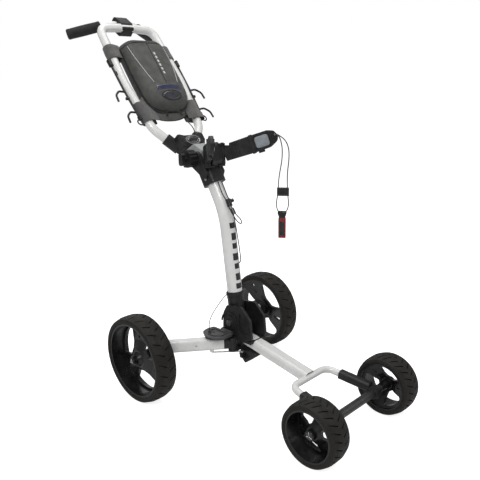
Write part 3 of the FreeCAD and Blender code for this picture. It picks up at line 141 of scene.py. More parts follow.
# ---- shader building --------------------------------------------------------
class Board:
    """Adds shader nodes to one tree and joins them."""

    def __init__(self, tree: bpy.types.NodeTree) -> None:
        """Keeps the tree that the nodes go into."""
        self.tree = tree

    def add(self, kind: str, values: dict | None = None, **settings: object) -> bpy.types.Node:
        """Adds a node.

        Args:
            kind: the node's type name.
            values: socket name or index to a number, a colour or an output socket.
            settings: the node's own properties.

        Returns:
            The new node.
        """
        node = self.tree.nodes.new(kind)
        for label, value in settings.items():
            setattr(node, label, value)
        for label, value in (values or {}).items():
            if isinstance(value, bpy.types.NodeSocket):
                self.tree.links.new(value, node.inputs[label])
            else:
                node.inputs[label].default_value = value
        return node

    def maths(self, operation: str, first: object, second: object = 0.0,
              clamp: bool = False) -> bpy.types.NodeSocket:
        """The output of a Math node."""
        node = self.add("ShaderNodeMath", {0: first, 1: second}, operation=operation, use_clamp=clamp)
        return node.outputs[0]

    def times(self, first: object, second: object, clamp: bool = False) -> bpy.types.NodeSocket:
        """The product of two values."""
        return self.maths("MULTIPLY", first, second, clamp)

    def place(self) -> bpy.types.NodeSocket:
        """The piece's own coordinates."""
        return self.add("ShaderNodeTexCoord").outputs["Object"]

    def height(self, value: bpy.types.NodeSocket, low: float, high: float, bottom: float = 0.0,
               top: float = 1.0) -> bpy.types.NodeSocket:
        """The upward part of a vector, taken from low..high to bottom..top."""
        return self.ramp(self.add("ShaderNodeSeparateXYZ", {0: value}).outputs[2], low, high, bottom, top)

    def join(self, value: bpy.types.NodeSocket, target: bpy.types.NodeSocket) -> None:
        """Links a value to an input."""
        self.tree.links.new(value, target)

    def ramp(self, value: bpy.types.NodeSocket, low: float, high: float, bottom: float = 0.0,
             top: float = 1.0) -> bpy.types.NodeSocket:
        """A value taken from low..high to bottom..top, held at the ends."""
        node = self.add("ShaderNodeMapRange", {0: value, 1: low, 2: high, 3: bottom, 4: top})
        return node.outputs[0]

    def mix(self, share: object, first: object, second: object) -> bpy.types.NodeSocket:
        """Two colours mixed by a share."""
        node = self.add("ShaderNodeMix", {0: share, 6: first, 7: second}, data_type="RGBA")
        return node.outputs[2]


class Effect(Enum):
    """The surface effects, each a shader node group that is built once."""

    GRAIN = "moulded_grain"
    WEAVE = "cloth_weave"
    FOAM = "closed_cell_foam"
    BRUSHED = "drawn_metal"
    DUST = "settled_dust"
    RUBS = "rub_marks"
    SPLASH = "path_splash"


class EffectShop:
    """Builds each effect's node group the first time that a material asks for it."""

    def __init__(self) -> None:
        """Starts with no groups made."""
        self.made: dict[Effect, bpy.types.NodeTree] = {}
        self.makers: dict[Effect, Callable[[Board, bpy.types.Node, bpy.types.Node], None]] = {
            Effect.GRAIN: self.grain, Effect.WEAVE: self.weave, Effect.FOAM: self.foam,
            Effect.BRUSHED: self.brushed, Effect.DUST: self.dust, Effect.RUBS: self.rubs,
            Effect.SPLASH: self.splash}

    def get(self, effect: Effect) -> bpy.types.NodeTree:
        """The effect's node group.

        Args:
            effect: the effect wanted.

        Returns:
            A group with inputs Scale and Amount, and outputs Height, Tone and Mask.
        """
        if effect not in self.made:
            tree = bpy.data.node_groups.new(effect.value, "ShaderNodeTree")
            for label, value in (("Scale", 100.0), ("Amount", 1.0)):
                socket = tree.interface.new_socket(label, in_out="INPUT", socket_type="NodeSocketFloat")
                socket.default_value = value
            for label in ("Height", "Tone", "Mask"):
                tree.interface.new_socket(label, in_out="OUTPUT", socket_type="NodeSocketFloat")
            board = Board(tree)
            self.makers[effect](board, board.add("NodeGroupInput"), board.add("NodeGroupOutput"))
            self.made[effect] = tree
        return self.made[effect]

    @staticmethod
    def noise(board: Board, scale: object, detail: float = 2.0, stretch: Point = (1, 1, 1),
              turn: Point = (0, 0, 0)) -> bpy.types.NodeSocket:
        """Noise over the piece's own coordinates.

        Args:
            board: where the nodes go.
            scale: cells per metre.
            detail: the number of finer layers.
            stretch: how much each axis is scaled before.
            turn: rotation of the coordinates, in radians.

        Returns:
            The noise value from 0 to 1.
        """
        values = {"Vector": board.place(), "Scale": stretch, "Rotation": turn}
        place = board.add("ShaderNodeMapping", values).outputs[0]
        cells = board.add("ShaderNodeTexNoise", {"Vector": place, "Scale": scale, "Detail": detail})
        return cells.outputs[0]

    def finish(self, board: Board, source: bpy.types.Node, target: bpy.types.Node,
               relief: bpy.types.NodeSocket, gaps: bpy.types.NodeSocket, share: float) -> None:
        """Joins an effect's three results to its outputs.

        Args:
            board: where the nodes go.
            source: the group's inputs.
            target: the group's outputs.
            relief: the height before Amount.
            gaps: the mask of the hollows that painted shade darkens.
            share: the broad tone's cells per metre, as a share of the effect's.
        """
        board.join(board.times(relief, source.outputs["Amount"]), target.inputs["Height"])
        board.join(gaps, target.inputs["Mask"])
        broad = self.noise(board, board.times(source.outputs["Scale"], share), 3.0)
        board.join(board.ramp(broad, 0.35, 0.65), target.inputs["Tone"])

    def grain(self, board: Board, source: bpy.types.Node, target: bpy.types.Node) -> None:
        """The fine pebbled grain of a moulded part."""
        scale = source.outputs["Scale"]
        fine = self.noise(board, scale, 3.0)
        cells = board.add("ShaderNodeTexVoronoi", {"Vector": board.place(), "Scale": scale}).outputs[0]
        relief = board.maths("ADD", board.times(fine, 0.6), board.times(cells, 0.5))
        self.finish(board, source, target, relief, board.ramp(fine, 0.45, 0.7), 0.03)

    def weave(self, board: Board, source: bpy.types.Node, target: bpy.types.Node) -> None:
        """Over-and-under threads in the plane of the handle."""
        values = {"Vector": board.place(), "Rotation": (-HANDLE_LEAN, 0, 0)}
        place = board.add("ShaderNodeMapping", values).outputs[0]
        parts = board.add("ShaderNodeSeparateXYZ", {0: place}).outputs
        wobble = board.times(self.noise(board, 220.0), 1.2)
        waves = []
        for axis in (0, 1):
            turn = board.times(board.times(parts[axis], source.outputs["Scale"]), math.pi)
            waves.append(board.maths("SINE", board.maths("ADD", turn, wobble)))
        crossing = board.times(*waves)
        threads = board.maths("ABSOLUTE", crossing)
        self.finish(board, source, target, threads, board.ramp(crossing, -0.6, 0.6), 0.05)

    def foam(self, board: Board, source: bpy.types.Node, target: bpy.types.Node) -> None:
        """The small closed cells of a foam skin."""
        scale = source.outputs["Scale"]
        cells = board.add("ShaderNodeTexVoronoi", {"Vector": board.place(), "Scale": scale},
                          feature="SMOOTH_F1").outputs[0]
        soft = self.noise(board, board.times(scale, 0.2), 4.0)
        relief = board.maths("ADD", cells, soft)
        self.finish(board, source, target, relief, board.ramp(cells, 0.2, 0.7), 0.04)

    def brushed(self, board: Board, source: bpy.types.Node, target: bpy.types.Node) -> None:
        """Fine drawn lines across X."""
        lines = self.noise(board, source.outputs["Scale"], 2.0, (0.05, 1, 1))
        self.finish(board, source, target, lines, board.ramp(lines, 0.3, 0.7), 0.08)

    def dust(self, board: Board, source: bpy.types.Node, target: bpy.types.Node) -> None:
        """Dust that lies on what faces upwards."""
        level = board.height(board.add("ShaderNodeTexCoord").outputs["Normal"], 0.1, 0.95)
        patches = board.ramp(self.noise(board, source.outputs["Scale"], 5.0), 0.38, 0.75)
        mask = board.times(board.times(level, patches), source.outputs["Amount"], True)
        board.join(mask, target.inputs["Mask"])

    def rubs(self, board: Board, source: bpy.types.Node, target: bpy.types.Node) -> None:
        """Short rub marks and nicks, stretched along one slanting direction."""
        marks = self.noise(board, source.outputs["Scale"], 3.0, (1, 1, 0.22), (0.35, 0.2, 0))
        place = self.noise(board, board.times(source.outputs["Scale"], 0.08), 1.0)
        mask = board.times(board.ramp(marks, 0.64, 0.7), board.ramp(place, 0.48, 0.62))
        board.join(board.times(mask, source.outputs["Amount"], True), target.inputs["Mask"])

    def splash(self, board: Board, source: bpy.types.Node, target: bpy.types.Node) -> None:
        """Dried splashes that thin out with height above the ground."""
        level = board.height(board.place(), 0.0, 0.3, 1.0, 0.0)
        spots = board.ramp(self.noise(board, source.outputs["Scale"], 6.0), 0.5, 0.72)
        mask = board.times(board.times(level, spots), source.outputs["Amount"], True)
        board.join(mask, target.inputs["Mask"])


EFFECTS = EffectShop()
DUST_COLOUR: Colour = (0.36, 0.33, 0.28)
SPLASH_COLOUR: Colour = (0.20, 0.17, 0.13)
RUBS_SCALE = 260.0
DUST_SCALE = 45.0
SPLASH_SCALE = 120.0
# The darkest share of a finish's own colour that the painted shade in the surface's hollows reaches.
GAP_SHADE = 0.35
ROUGHNESS_BELOW = 0.05
ROUGHNESS_ABOVE = 0.07
WORN_ROUGHNESS = 0.35
COAT_ROUGHNESS = 0.12


@dataclass(frozen=True)
class Finish:
    """One material: its colours, gloss and the effects on its surface.

    Scales are cells per metre, bump is in metres of relief, edge is the radius in metres by which
    shading rounds a sharp edge, and gap is how strongly painted shade darkens the hollows of the surface.
    """

    name: str
    colour: Colour
    tone: Colour
    roughness: float
    surface: Effect = Effect.GRAIN
    scale: float = 1400.0
    bump: float = 0.0002
    metallic: float = 0.0
    coat: float = 0.0
    sheen: float = 0.0
    rub: Colour = (0.30, 0.30, 0.30)
    rubs: float = 0.25
    dust: float = 0.15
    splash: float = 0.0
    edge: float = 0.0
    gap: float = 0.12
    specular: float = 0.5

    def material(self) -> bpy.types.Material:
        """The finish's material, made the first time."""
        known = bpy.data.materials.get(self.name)
        return known if known else self.make()

    def make(self) -> bpy.types.Material:
        """Builds the material from the effects.

        Returns:
            The new material.
        """
        made = bpy.data.materials.new(self.name)
        made.use_nodes = True
        made.node_tree.nodes.clear()
        board = Board(made.node_tree)
        surface = self.effect(board, self.surface, self.scale, 1.0)
        colour = board.mix(surface.outputs["Tone"], (*self.colour, 1), (*self.tone, 1))
        # Painted shade: the hollows of the surface's relief are darkened in the colour, as much as gap.
        shade = board.ramp(surface.outputs["Mask"], 0, 1, 0.0, self.gap)
        colour = board.mix(shade, colour, (*[c * GAP_SHADE for c in self.colour], 1))
        rubs = self.effect(board, Effect.RUBS, RUBS_SCALE, self.rubs).outputs["Mask"]
        colour = board.mix(rubs, colour, (*self.rub, 1))
        dust = self.effect(board, Effect.DUST, DUST_SCALE, self.dust).outputs["Mask"]
        colour = board.mix(dust, colour, (*DUST_COLOUR, 1))
        if self.splash:
            spots = self.effect(board, Effect.SPLASH, SPLASH_SCALE, self.splash).outputs["Mask"]
            colour = board.mix(spots, colour, (*SPLASH_COLOUR, 1))
        rough = board.ramp(surface.outputs["Tone"], 0, 1, self.roughness - ROUGHNESS_BELOW,
                           self.roughness + ROUGHNESS_ABOVE)
        worn = board.times(board.maths("ADD", rubs, dust), WORN_ROUGHNESS)
        rough = board.maths("ADD", rough, worn, True)
        bump_values = {"Height": surface.outputs["Height"], "Distance": self.bump, "Strength": 1.0}
        if self.edge:
            bevel = board.add("ShaderNodeBevel", {"Radius": self.edge}, samples=4)
            bump_values["Normal"] = bevel.outputs[0]
        normal = board.add("ShaderNodeBump", bump_values).outputs[0]
        shader = board.add("ShaderNodeBsdfPrincipled", {
            "Base Color": colour, "Roughness": rough, "Metallic": self.metallic, "Normal": normal,
            "Specular IOR Level": self.specular, "Coat Weight": self.coat,
            "Coat Roughness": COAT_ROUGHNESS, "Sheen Weight": self.sheen})
        board.add("ShaderNodeOutputMaterial", {"Surface": shader.outputs[0]})
        return made

    @staticmethod
    def effect(board: Board, effect: Effect, scale: float, amount: float) -> bpy.types.Node:
        """Places an effect's group in a material."""
        node = board.add("ShaderNodeGroup")
        node.node_tree = EFFECTS.get(effect)
        node.inputs["Scale"].default_value = scale
        node.inputs["Amount"].default_value = amount
        return node


WHITE_COAT = Finish("white_powder_coat", (0.84, 0.84, 0.83), (0.78, 0.78, 0.77), 0.22, scale=900,
                    bump=0.00005, coat=0.5, rub=(0.45, 0.45, 0.44), rubs=0.25, dust=0.05, splash=0.25,
                    gap=0.02)
BLACK_MOULDING = Finish("black_moulding", (0.010, 0.010, 0.011), (0.018, 0.018, 0.019), 0.40, scale=1700,
                        bump=0.00018, rub=(0.10, 0.10, 0.10), rubs=0.3, dust=0.05, edge=0.0011,
                        specular=0.4)
BLACK_GLOSS = Finish("black_gloss_moulding", (0.012, 0.012, 0.013), (0.02, 0.02, 0.021), 0.22, scale=900,
                     bump=0.00006, coat=0.35, rub=(0.14, 0.14, 0.14), rubs=0.25, dust=0.06, edge=0.0009)
RIM_BLACK = Finish("rim_moulding", (0.006, 0.006, 0.007), (0.012, 0.012, 0.013), 0.30, scale=1300,
                   bump=0.00012, coat=0.2, rub=(0.06, 0.06, 0.06), rubs=0.25, dust=0.02, splash=0.04,
                   edge=0.0014, specular=0.35)
TYRE_FOAM = Finish("tyre_foam", (0.009, 0.008, 0.007), (0.016, 0.014, 0.012), 0.62, Effect.FOAM, 1100,
                   bump=0.0003, rub=(0.04, 0.037, 0.034), rubs=0.2, dust=0.04, splash=0.06, edge=0.0006,
                   specular=0.3)
GRIP_FOAM = Finish("grip_foam", (0.014, 0.014, 0.015), (0.026, 0.026, 0.027), 0.80, Effect.FOAM, 1500,
                   bump=0.0003, sheen=0.08, rub=(0.07, 0.07, 0.07), rubs=0.3, dust=0.06, specular=0.35)
STEEL = Finish("bright_steel", (0.56, 0.56, 0.57), (0.44, 0.44, 0.45), 0.28, Effect.BRUSHED, 2200,
               bump=0.00004, metallic=1.0, rubs=0.2, dust=0.08, gap=0.05)
BADGE_METAL = Finish("badge_metal", (0.66, 0.66, 0.67), (0.55, 0.55, 0.56), 0.2, Effect.BRUSHED, 2600,
                     bump=0.00003, metallic=1.0, rubs=0.1, dust=0.04, gap=0.04, edge=0.0005)
DARK_STEEL = Finish("painted_axle", (0.012, 0.012, 0.013), (0.022, 0.022, 0.023), 0.36, scale=1000,
                    bump=0.0001, coat=0.2, rubs=0.4, dust=0.06, splash=0.15)
PLATE_GREY = Finish("plate_grey", (0.052, 0.054, 0.056), (0.036, 0.037, 0.039), 0.36, scale=1200,
                    bump=0.00012, rub=(0.42, 0.42, 0.42), rubs=0.5, dust=0.12, edge=0.0009)
TONGUE_GREY = Finish("tongue_grey", (0.46, 0.47, 0.47), (0.38, 0.39, 0.39), 0.34, scale=1200,
                     bump=0.0001, rub=(0.22, 0.22, 0.22), rubs=0.3, dust=0.08, edge=0.0009)
LID_SHELL = Finish("console_shell", (0.046, 0.049, 0.043), (0.068, 0.071, 0.063), 0.46, Effect.WEAVE, 900,
                   bump=0.00024, sheen=0.1, rub=(0.16, 0.16, 0.15), rubs=0.2, dust=0.12)
LID_NOSE = Finish("console_nose", (0.022, 0.026, 0.034), (0.034, 0.038, 0.048), 0.28, scale=1500,
                  bump=0.00012, coat=0.35, rub=(0.14, 0.14, 0.15), rubs=0.2, dust=0.05)
CASE_CLOTH = Finish("console_cloth", (0.024, 0.025, 0.024), (0.042, 0.043, 0.040), 0.76, Effect.WEAVE, 760,
                    bump=0.00035, sheen=0.15, rub=(0.12, 0.12, 0.12), rubs=0.15, dust=0.1, gap=0.3)
WRAP_CLOTH = Finish("wrap_cloth", (0.082, 0.080, 0.080), (0.112, 0.108, 0.108), 0.86, Effect.WEAVE, 700,
                    bump=0.0004, sheen=0.3, rub=(0.2, 0.2, 0.2), rubs=0.15, dust=0.25, gap=0.3)
APRON_CLOTH = Finish("apron_cloth", (0.13, 0.13, 0.125), (0.17, 0.17, 0.16), 0.8, Effect.WEAVE, 620,
                     bump=0.0004, sheen=0.2, rub=(0.25, 0.25, 0.25), rubs=0.15, dust=0.2, gap=0.4)
PIPING = Finish("silver_piping", (0.62, 0.63, 0.62), (0.52, 0.53, 0.52), 0.36, Effect.WEAVE, 1600,
                bump=0.0001, rubs=0.2, dust=0.05)
PALE_PRINT = Finish("pale_print", (0.66, 0.67, 0.65), (0.55, 0.56, 0.54), 0.5, scale=2000, bump=0.00003,
                    rub=(0.2, 0.2, 0.2), rubs=0.4, dust=0.05)
DARK_PRINT = Finish("dark_print", (0.02, 0.02, 0.022), (0.03, 0.03, 0.032), 0.4, scale=2000, bump=0.00003,
                    rub=(0.4, 0.4, 0.4), rubs=0.25, dust=0.04)
BLUE_STRIP = Finish("blue_strip", (0.020, 0.026, 0.075), (0.03, 0.036, 0.095), 0.16, scale=1500,
                    bump=0.00003, coat=0.6, rub=(0.16, 0.17, 0.25), rubs=0.2, dust=0.05)
ZIP_TAPE = Finish("zip_tape", (0.010, 0.010, 0.010), (0.018, 0.018, 0.018), 0.72, Effect.WEAVE, 1300,
                  bump=0.0003, rubs=0.1, dust=0.12)
PAD_CLOTH = Finish("pad_cloth", (0.27, 0.30, 0.33), (0.33, 0.36, 0.39), 0.7, Effect.WEAVE, 1100,
                   bump=0.0003, sheen=0.25, rub=(0.45, 0.45, 0.45), rubs=0.15, dust=0.1, gap=0.25)
TAG_RED = Finish("tag_red", (0.30, 0.022, 0.020), (0.22, 0.016, 0.016), 0.58, Effect.WEAVE, 1200,
                 bump=0.0003, sheen=0.1, rub=(0.5, 0.2, 0.18), rubs=0.3, dust=0.1, gap=0.3)
CORD_CLOTH = Finish("cord_cloth", (0.014, 0.014, 0.014), (0.03, 0.03, 0.03), 0.8, Effect.WEAVE, 2400,
                    bump=0.0004, sheen=0.2, rubs=0.1, dust=0.1, gap=0.4)
CABLE_SKIN = Finish("cable_skin", (0.012, 0.012, 0.012), (0.02, 0.02, 0.02), 0.35, scale=1500,
                    bump=0.00005, rubs=0.2, dust=0.06)



def both(*stems: str) -> tuple[str, ...]:
    """The names of the nodes that there are two of, near and far."""
    return tuple(f"{stem}_{side.label}" for stem in stems for side in Side)


NODE_FINISHES: dict[Finish, tuple[str, ...]] = {
    WHITE_COAT: ("mast_tube", "front_beam", "front_bow", "handle_loop", "handlebar", *both("leg_tube")),
    BLACK_MOULDING: ("fold_hub", "mast_foot", "upper_sleeve", "cradle_base", "saddle", "bow_sleeves",
                     "bar_clamp", "hook_rails", "bungee_adjuster", "slider_bracket", "tilt_knob",
                     *both("leg_root", "leg_end", "cradle_arm")),
    BLACK_GLOSS: ("knob_lever", "clamp_bolt", "cord_lock"),
    RIM_BLACK: both("rear_rim", "front_rim", "rear_button"),
    TYRE_FOAM: both("rear_tyre", "front_tyre"),
    STEEL: ("pivot_pins", "frame_screws", *both("rear_axle", "link_rod")),
    BADGE_METAL: ("saddle_badge",),
    DARK_STEEL: ("front_axle",),
    PLATE_GREY: ("release_plate",),
    TONGUE_GREY: ("tilt_tongue",),
    CASE_CLOTH: ("console_tray",),
}


# ---- mesh building ----------------------------------------------------------
def mesh_piece(name: str, points: Sequence[Vector], faces: Sequence[Sequence[int]]) -> bpy.types.Object:
    """A smooth-shaded mesh object.

    Args:
        name: the piece's name.
        points: places in metres, in the model's frame.
        faces: corner numbers of each face.

    Returns:
        The new object.
    """
    data = bpy.data.meshes.new(name)
    data.from_pydata([tuple(p) for p in points], [], [tuple(f) for f in faces])
    data.validate()
    data.polygons.foreach_set("use_smooth", [True] * len(data.polygons))
    piece = bpy.data.objects.new(name, data)
    bpy.context.scene.collection.objects.link(piece)
    return piece


def loft(name: str, rings: Sequence[Sequence[Vector]], closed: bool = True,
         capped: bool = False) -> bpy.types.Object:
    """A surface through rings of equally many points.

    Args:
        name: the piece's name.
        rings: the rings in order.
        closed: whether each ring joins its last point to its first.
        capped: whether the first and last ring are filled.

    Returns:
        The new object.
    """
    count = len(rings[0])
    span = count if closed else count - 1
    points = [point for ring in rings for point in ring]
    faces = []
    for row in range(len(rings) - 1):
        for step in range(span):
            a, b = row * count + step, row * count + (step + 1) % count
            faces.append((a, b, b + count, a + count))
    if capped:
        faces.append(tuple(reversed(range(count))))
        faces.append(tuple(range((len(rings) - 1) * count, len(rings) * count)))
    return mesh_piece(name, points, faces)


def modify(piece: bpy.types.Object, kind: str, **settings: object) -> bpy.types.Object:
    """Adds a modifier with its settings and returns the piece."""
    modifier = piece.modifiers.new(kind.title(), kind)
    for label, value in settings.items():
        setattr(modifier, label, value)
    return piece


def lathe(name: str, start: Vector, axis: Vector, profile: Sequence[Flat],
          steps: int = 48) -> bpy.types.Object:
    """A turned piece.

    Args:
        name: the piece's name.
        start: the profile's zero, in metres.
        axis: the direction of the turning axis.
        profile: (distance along the axis, radius) in millimetres, from end to end.
        steps: points round the axis.

    Returns:
        The new object.
    """
    direction = axis.normalized()
    side = direction.orthogonal().normalized()
    up = direction.cross(side)
    rings = []
    for along, radius in profile:
        ring = []
        for step in range(steps):
            angle = 2 * math.pi * step / steps
            spoke = side * math.cos(angle) + up * math.sin(angle)
            ring.append(start + (direction * along + spoke * radius) * MM)
        rings.append(ring)
    return loft(name, rings, capped=True)


def rounded(corners: Sequence[Flat], radius: float, steps: int = 5) -> list[Flat]:
    """A closed outline with its corners rounded.

    Args:
        corners: the outline's corners in order.
        radius: how far before and after a corner the rounding starts.
        steps: points on each rounded corner.

    Returns:
        The outline's points.
    """
    outline = []
    count = len(corners)
    for index, corner in enumerate(corners):
        here = Vector(corner)
        before, after = Vector(corners[index - 1]), Vector(corners[(index + 1) % count])
        first = here + (before - here).normalized() * min(radius, (before - here).length * 0.49)
        last = here + (after - here).normalized() * min(radius, (after - here).length * 0.49)
        for step in range(steps + 1):
            t = step / steps
            point = first * (1 - t) ** 2 + here * (2 * t * (1 - t)) + last * t ** 2
            outline.append((point.x, point.y))
    return outline


def ellipse(middle: Flat, half: Flat, steps: int) -> list[Flat]:
    """Points round an ellipse, from its middle and its half axes."""
    angles = [2 * math.pi * step / steps for step in range(steps)]
    return [(middle[0] + half[0] * math.cos(a), middle[1] + half[1] * math.sin(a)) for a in angles]


def plate(name: str, plane: Plane, outline: Sequence[Flat], bottom: float, top: float,
          soften: float = 0.4) -> bpy.types.Object:
    """A flat piece with softened edges.

    Args:
        name: the piece's name.
        plane: the plane that it lies in.
        outline: (across, along) in millimetres.
        bottom: its lower level above the plane.
        top: its upper level above the plane.
        soften: how much its edges are rounded, in millimetres.

    Returns:
        The new object.
    """
    rings = []
    inner = shrunk(outline, soften)
    for ring, level in ((inner, bottom), (outline, bottom + soften), (outline, top - soften), (inner, top)):
        rings.append([plane.at(across, along, level) for across, along in ring])
    return loft(name, rings, capped=True)


def shrunk(outline: Sequence[Flat], amount: float) -> list[Flat]:
    """An outline drawn in towards its middle by about an amount."""
    middle = Vector((sum(p[0] for p in outline), sum(p[1] for p in outline))) / len(outline)
    points = []
    for point in outline:
        offset = Vector(point) - middle
        points.append(tuple(middle + offset * (1 - amount / max(offset.length, amount * 2))))
    return points


def line_piece(name: str, runs: Sequence[Sequence[Vector]], radius: float, closed: bool = False,
               round_steps: int = 2, along_steps: int = 4) -> bpy.types.Object:
    """Round lines, such as cords, piping or stitches.

    Args:
        name: the piece's name.
        runs: the points of each line, in metres.
        radius: the lines' radius in millimetres.
        closed: whether each line joins up.
        round_steps: the fineness of the round section.
        along_steps: the fineness between points.

    Returns:
        The new curve object.
    """
    data = bpy.data.curves.new(name, "CURVE")
    data.dimensions = "3D"
    data.bevel_depth = radius * MM
    data.bevel_resolution = round_steps
    data.resolution_u = along_steps
    data.use_fill_caps = True
    for run in runs:
        spline = data.splines.new("NURBS")
        spline.points.add(len(run) - 1)
        for point, place in zip(spline.points, run):
            point.co = (*place, 1)
        spline.order_u = min(3, len(run))
        spline.use_endpoint_u = not closed
        spline.use_cyclic_u = closed
    piece = bpy.data.objects.new(name, data)
    bpy.context.scene.collection.objects.link(piece)
    return piece


def touch(node: str, start: Vector, direction: Vector, lift: float) -> Vector:
    """The point where a line from start meets a CAD node, lifted off its surface.

    Args:
        node: the CAD node's name.
        start: where the line begins, in metres.
        direction: the line's direction.
        lift: the distance off the surface in millimetres.

    Returns:
        The lifted point, or start where the line misses.
    """
    hit, place, normal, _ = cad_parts[node].ray_cast(start, direction.normalized())
    return place + normal * lift * MM if hit else start


def settle(piece: bpy.types.Object, body: str, finish: Finish, slot: str,
           *replaced: str) -> bpy.types.Object:
    """Dresses a piece, makes it ride on its body and reports it.

    Args:
        piece: the finished object.
        body: the body that it moves with.
        finish: its finish.
        slot: the record's material slot; not used.
        replaced: CAD nodes that it stands for.

    Returns:
        The piece.
    """
    piece.data.materials.clear()
    piece.data.materials.append(finish.material())
    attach(piece, body)
    if replaced:
        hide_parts(*replaced)
    LOG.info("%s rides on %s in %s", piece.name, body, finish.name)
    return piece


# ---- the studio -------------------------------------------------------------
@dataclass(frozen=True)
class Lamp:
    """One square light: its place in metres, its power in watts and its side in metres."""

    name: str
    place: Point
    power: float
    size: float


@dataclass
class Studio:
    """A pale floor, soft lights and the camera."""

    eye: Point = (-1.28466, -1.35743, 1.01790)
    target: Point = (0.00219, -0.17724, 0.45327)
    lens: float = 44.27
    shift: Flat = (-0.0635, 0.0546)
    floor_half: float = 14.0
    floor_glow: float = 0.83
    surround_light: float = 0.26
    lit_point: Point = (0, 0, 0.4)
    lamps: tuple[Lamp, ...] = (
        Lamp("key_light", (-2.4, -1.6, 2.9), 62, 1.5), Lamp("fill_light", (2.6, -2.2, 1.8), 14, 2.4),
        Lamp("top_light", (0.2, 0.3, 3.2), 34, 2.2), Lamp("back_light", (1.0, 3.0, 2.0), 18, 2.2))

    def build(self) -> None:
        """Makes the camera, the floor and the lights."""
        self.camera()
        self.floor()
        self.lights()
        bpy.context.scene.view_settings.view_transform = "Standard"

    def camera(self) -> None:
        """Sets the camera where the cart is seen from its near front quarter."""
        data = bpy.data.cameras.new("studio_camera")
        data.lens = self.lens
        data.shift_x, data.shift_y = self.shift
        camera = bpy.data.objects.new("studio_camera", data)
        bpy.context.scene.collection.objects.link(camera)
        self.aim(camera, self.eye, self.target)
        bpy.context.scene.camera = camera

    @staticmethod
    def aim(thing: bpy.types.Object, place: Point, target: Point) -> None:
        """Puts a camera or a light at a place and turns it to a target."""
        thing.location = place
        thing.rotation_euler = (Vector(target) - Vector(place)).to_track_quat("-Z", "Y").to_euler()

    def floor(self) -> None:
        """Lays a wide pale floor that looks nearly as bright as the surround."""
        half = self.floor_half
        corners = [Vector((x * half, y * half, 0)) for x, y in ((-1, -1), (1, -1), (1, 1), (-1, 1))]
        floor = mesh_piece("studio_floor", corners, [(0, 1, 2, 3)])
        made = bpy.data.materials.new("studio_floor")
        made.use_nodes = True
        board = Board(made.node_tree)
        shader = made.node_tree.nodes["Principled BSDF"]
        for label, value in (("Base Color", (0.8, 0.8, 0.8, 1)), ("Roughness", 0.9),
                             ("Specular IOR Level", 0.1), ("Emission Color", (1, 1, 1, 1))):
            shader.inputs[label].default_value = value
        seen = board.add("ShaderNodeLightPath").outputs["Is Camera Ray"]
        board.join(board.times(seen, self.floor_glow), shader.inputs["Emission Strength"])
        floor.data.materials.append(made)

    def lights(self) -> None:
        """Hangs large soft lights and a pale surround that is brighter to the eye than as a light."""
        for lamp in self.lamps:
            data = bpy.data.lights.new(lamp.name, "AREA")
            data.energy = lamp.power
            data.size = lamp.size
            light = bpy.data.objects.new(lamp.name, data)
            bpy.context.scene.collection.objects.link(light)
            self.aim(light, lamp.place, self.lit_point)
        world = bpy.data.worlds.new("pale_surround")
        world.use_nodes = True
        board = Board(world.node_tree)
        ground = world.node_tree.nodes["Background"]
        ground.inputs["Color"].default_value = (1, 1, 1, 1)
        seen = board.add("ShaderNodeLightPath").outputs["Is Camera Ray"]
        board.join(board.ramp(seen, 0, 1, self.surround_light, 1.0), ground.inputs["Strength"])
        bpy.context.scene.world = world


# ---- cords ------------------------------------------------------------------
@dataclass(frozen=True)
class CordRun:
    """One cord: its route's points and its facts, in metres."""

    node: str
    body: Body
    points: tuple[Vector, ...]
    length: float
    diameter: float
    stiffness: str
    lay: str
    finish: Finish = CORD_CLOTH

    def build(self, on_it: Sequence[bpy.types.Object] = ()) -> bpy.types.Object:
        """Args:
            on_it: the pieces that the cord runs through; not used.

        Returns:
            The curve object.
        """
        radius = self.diameter / 2 / MM
        piece = line_piece(self.node + "_line", [self.points], radius, round_steps=3, along_steps=8)
        settle(piece, self.body.value, self.finish, self.node, self.node)
        return piece


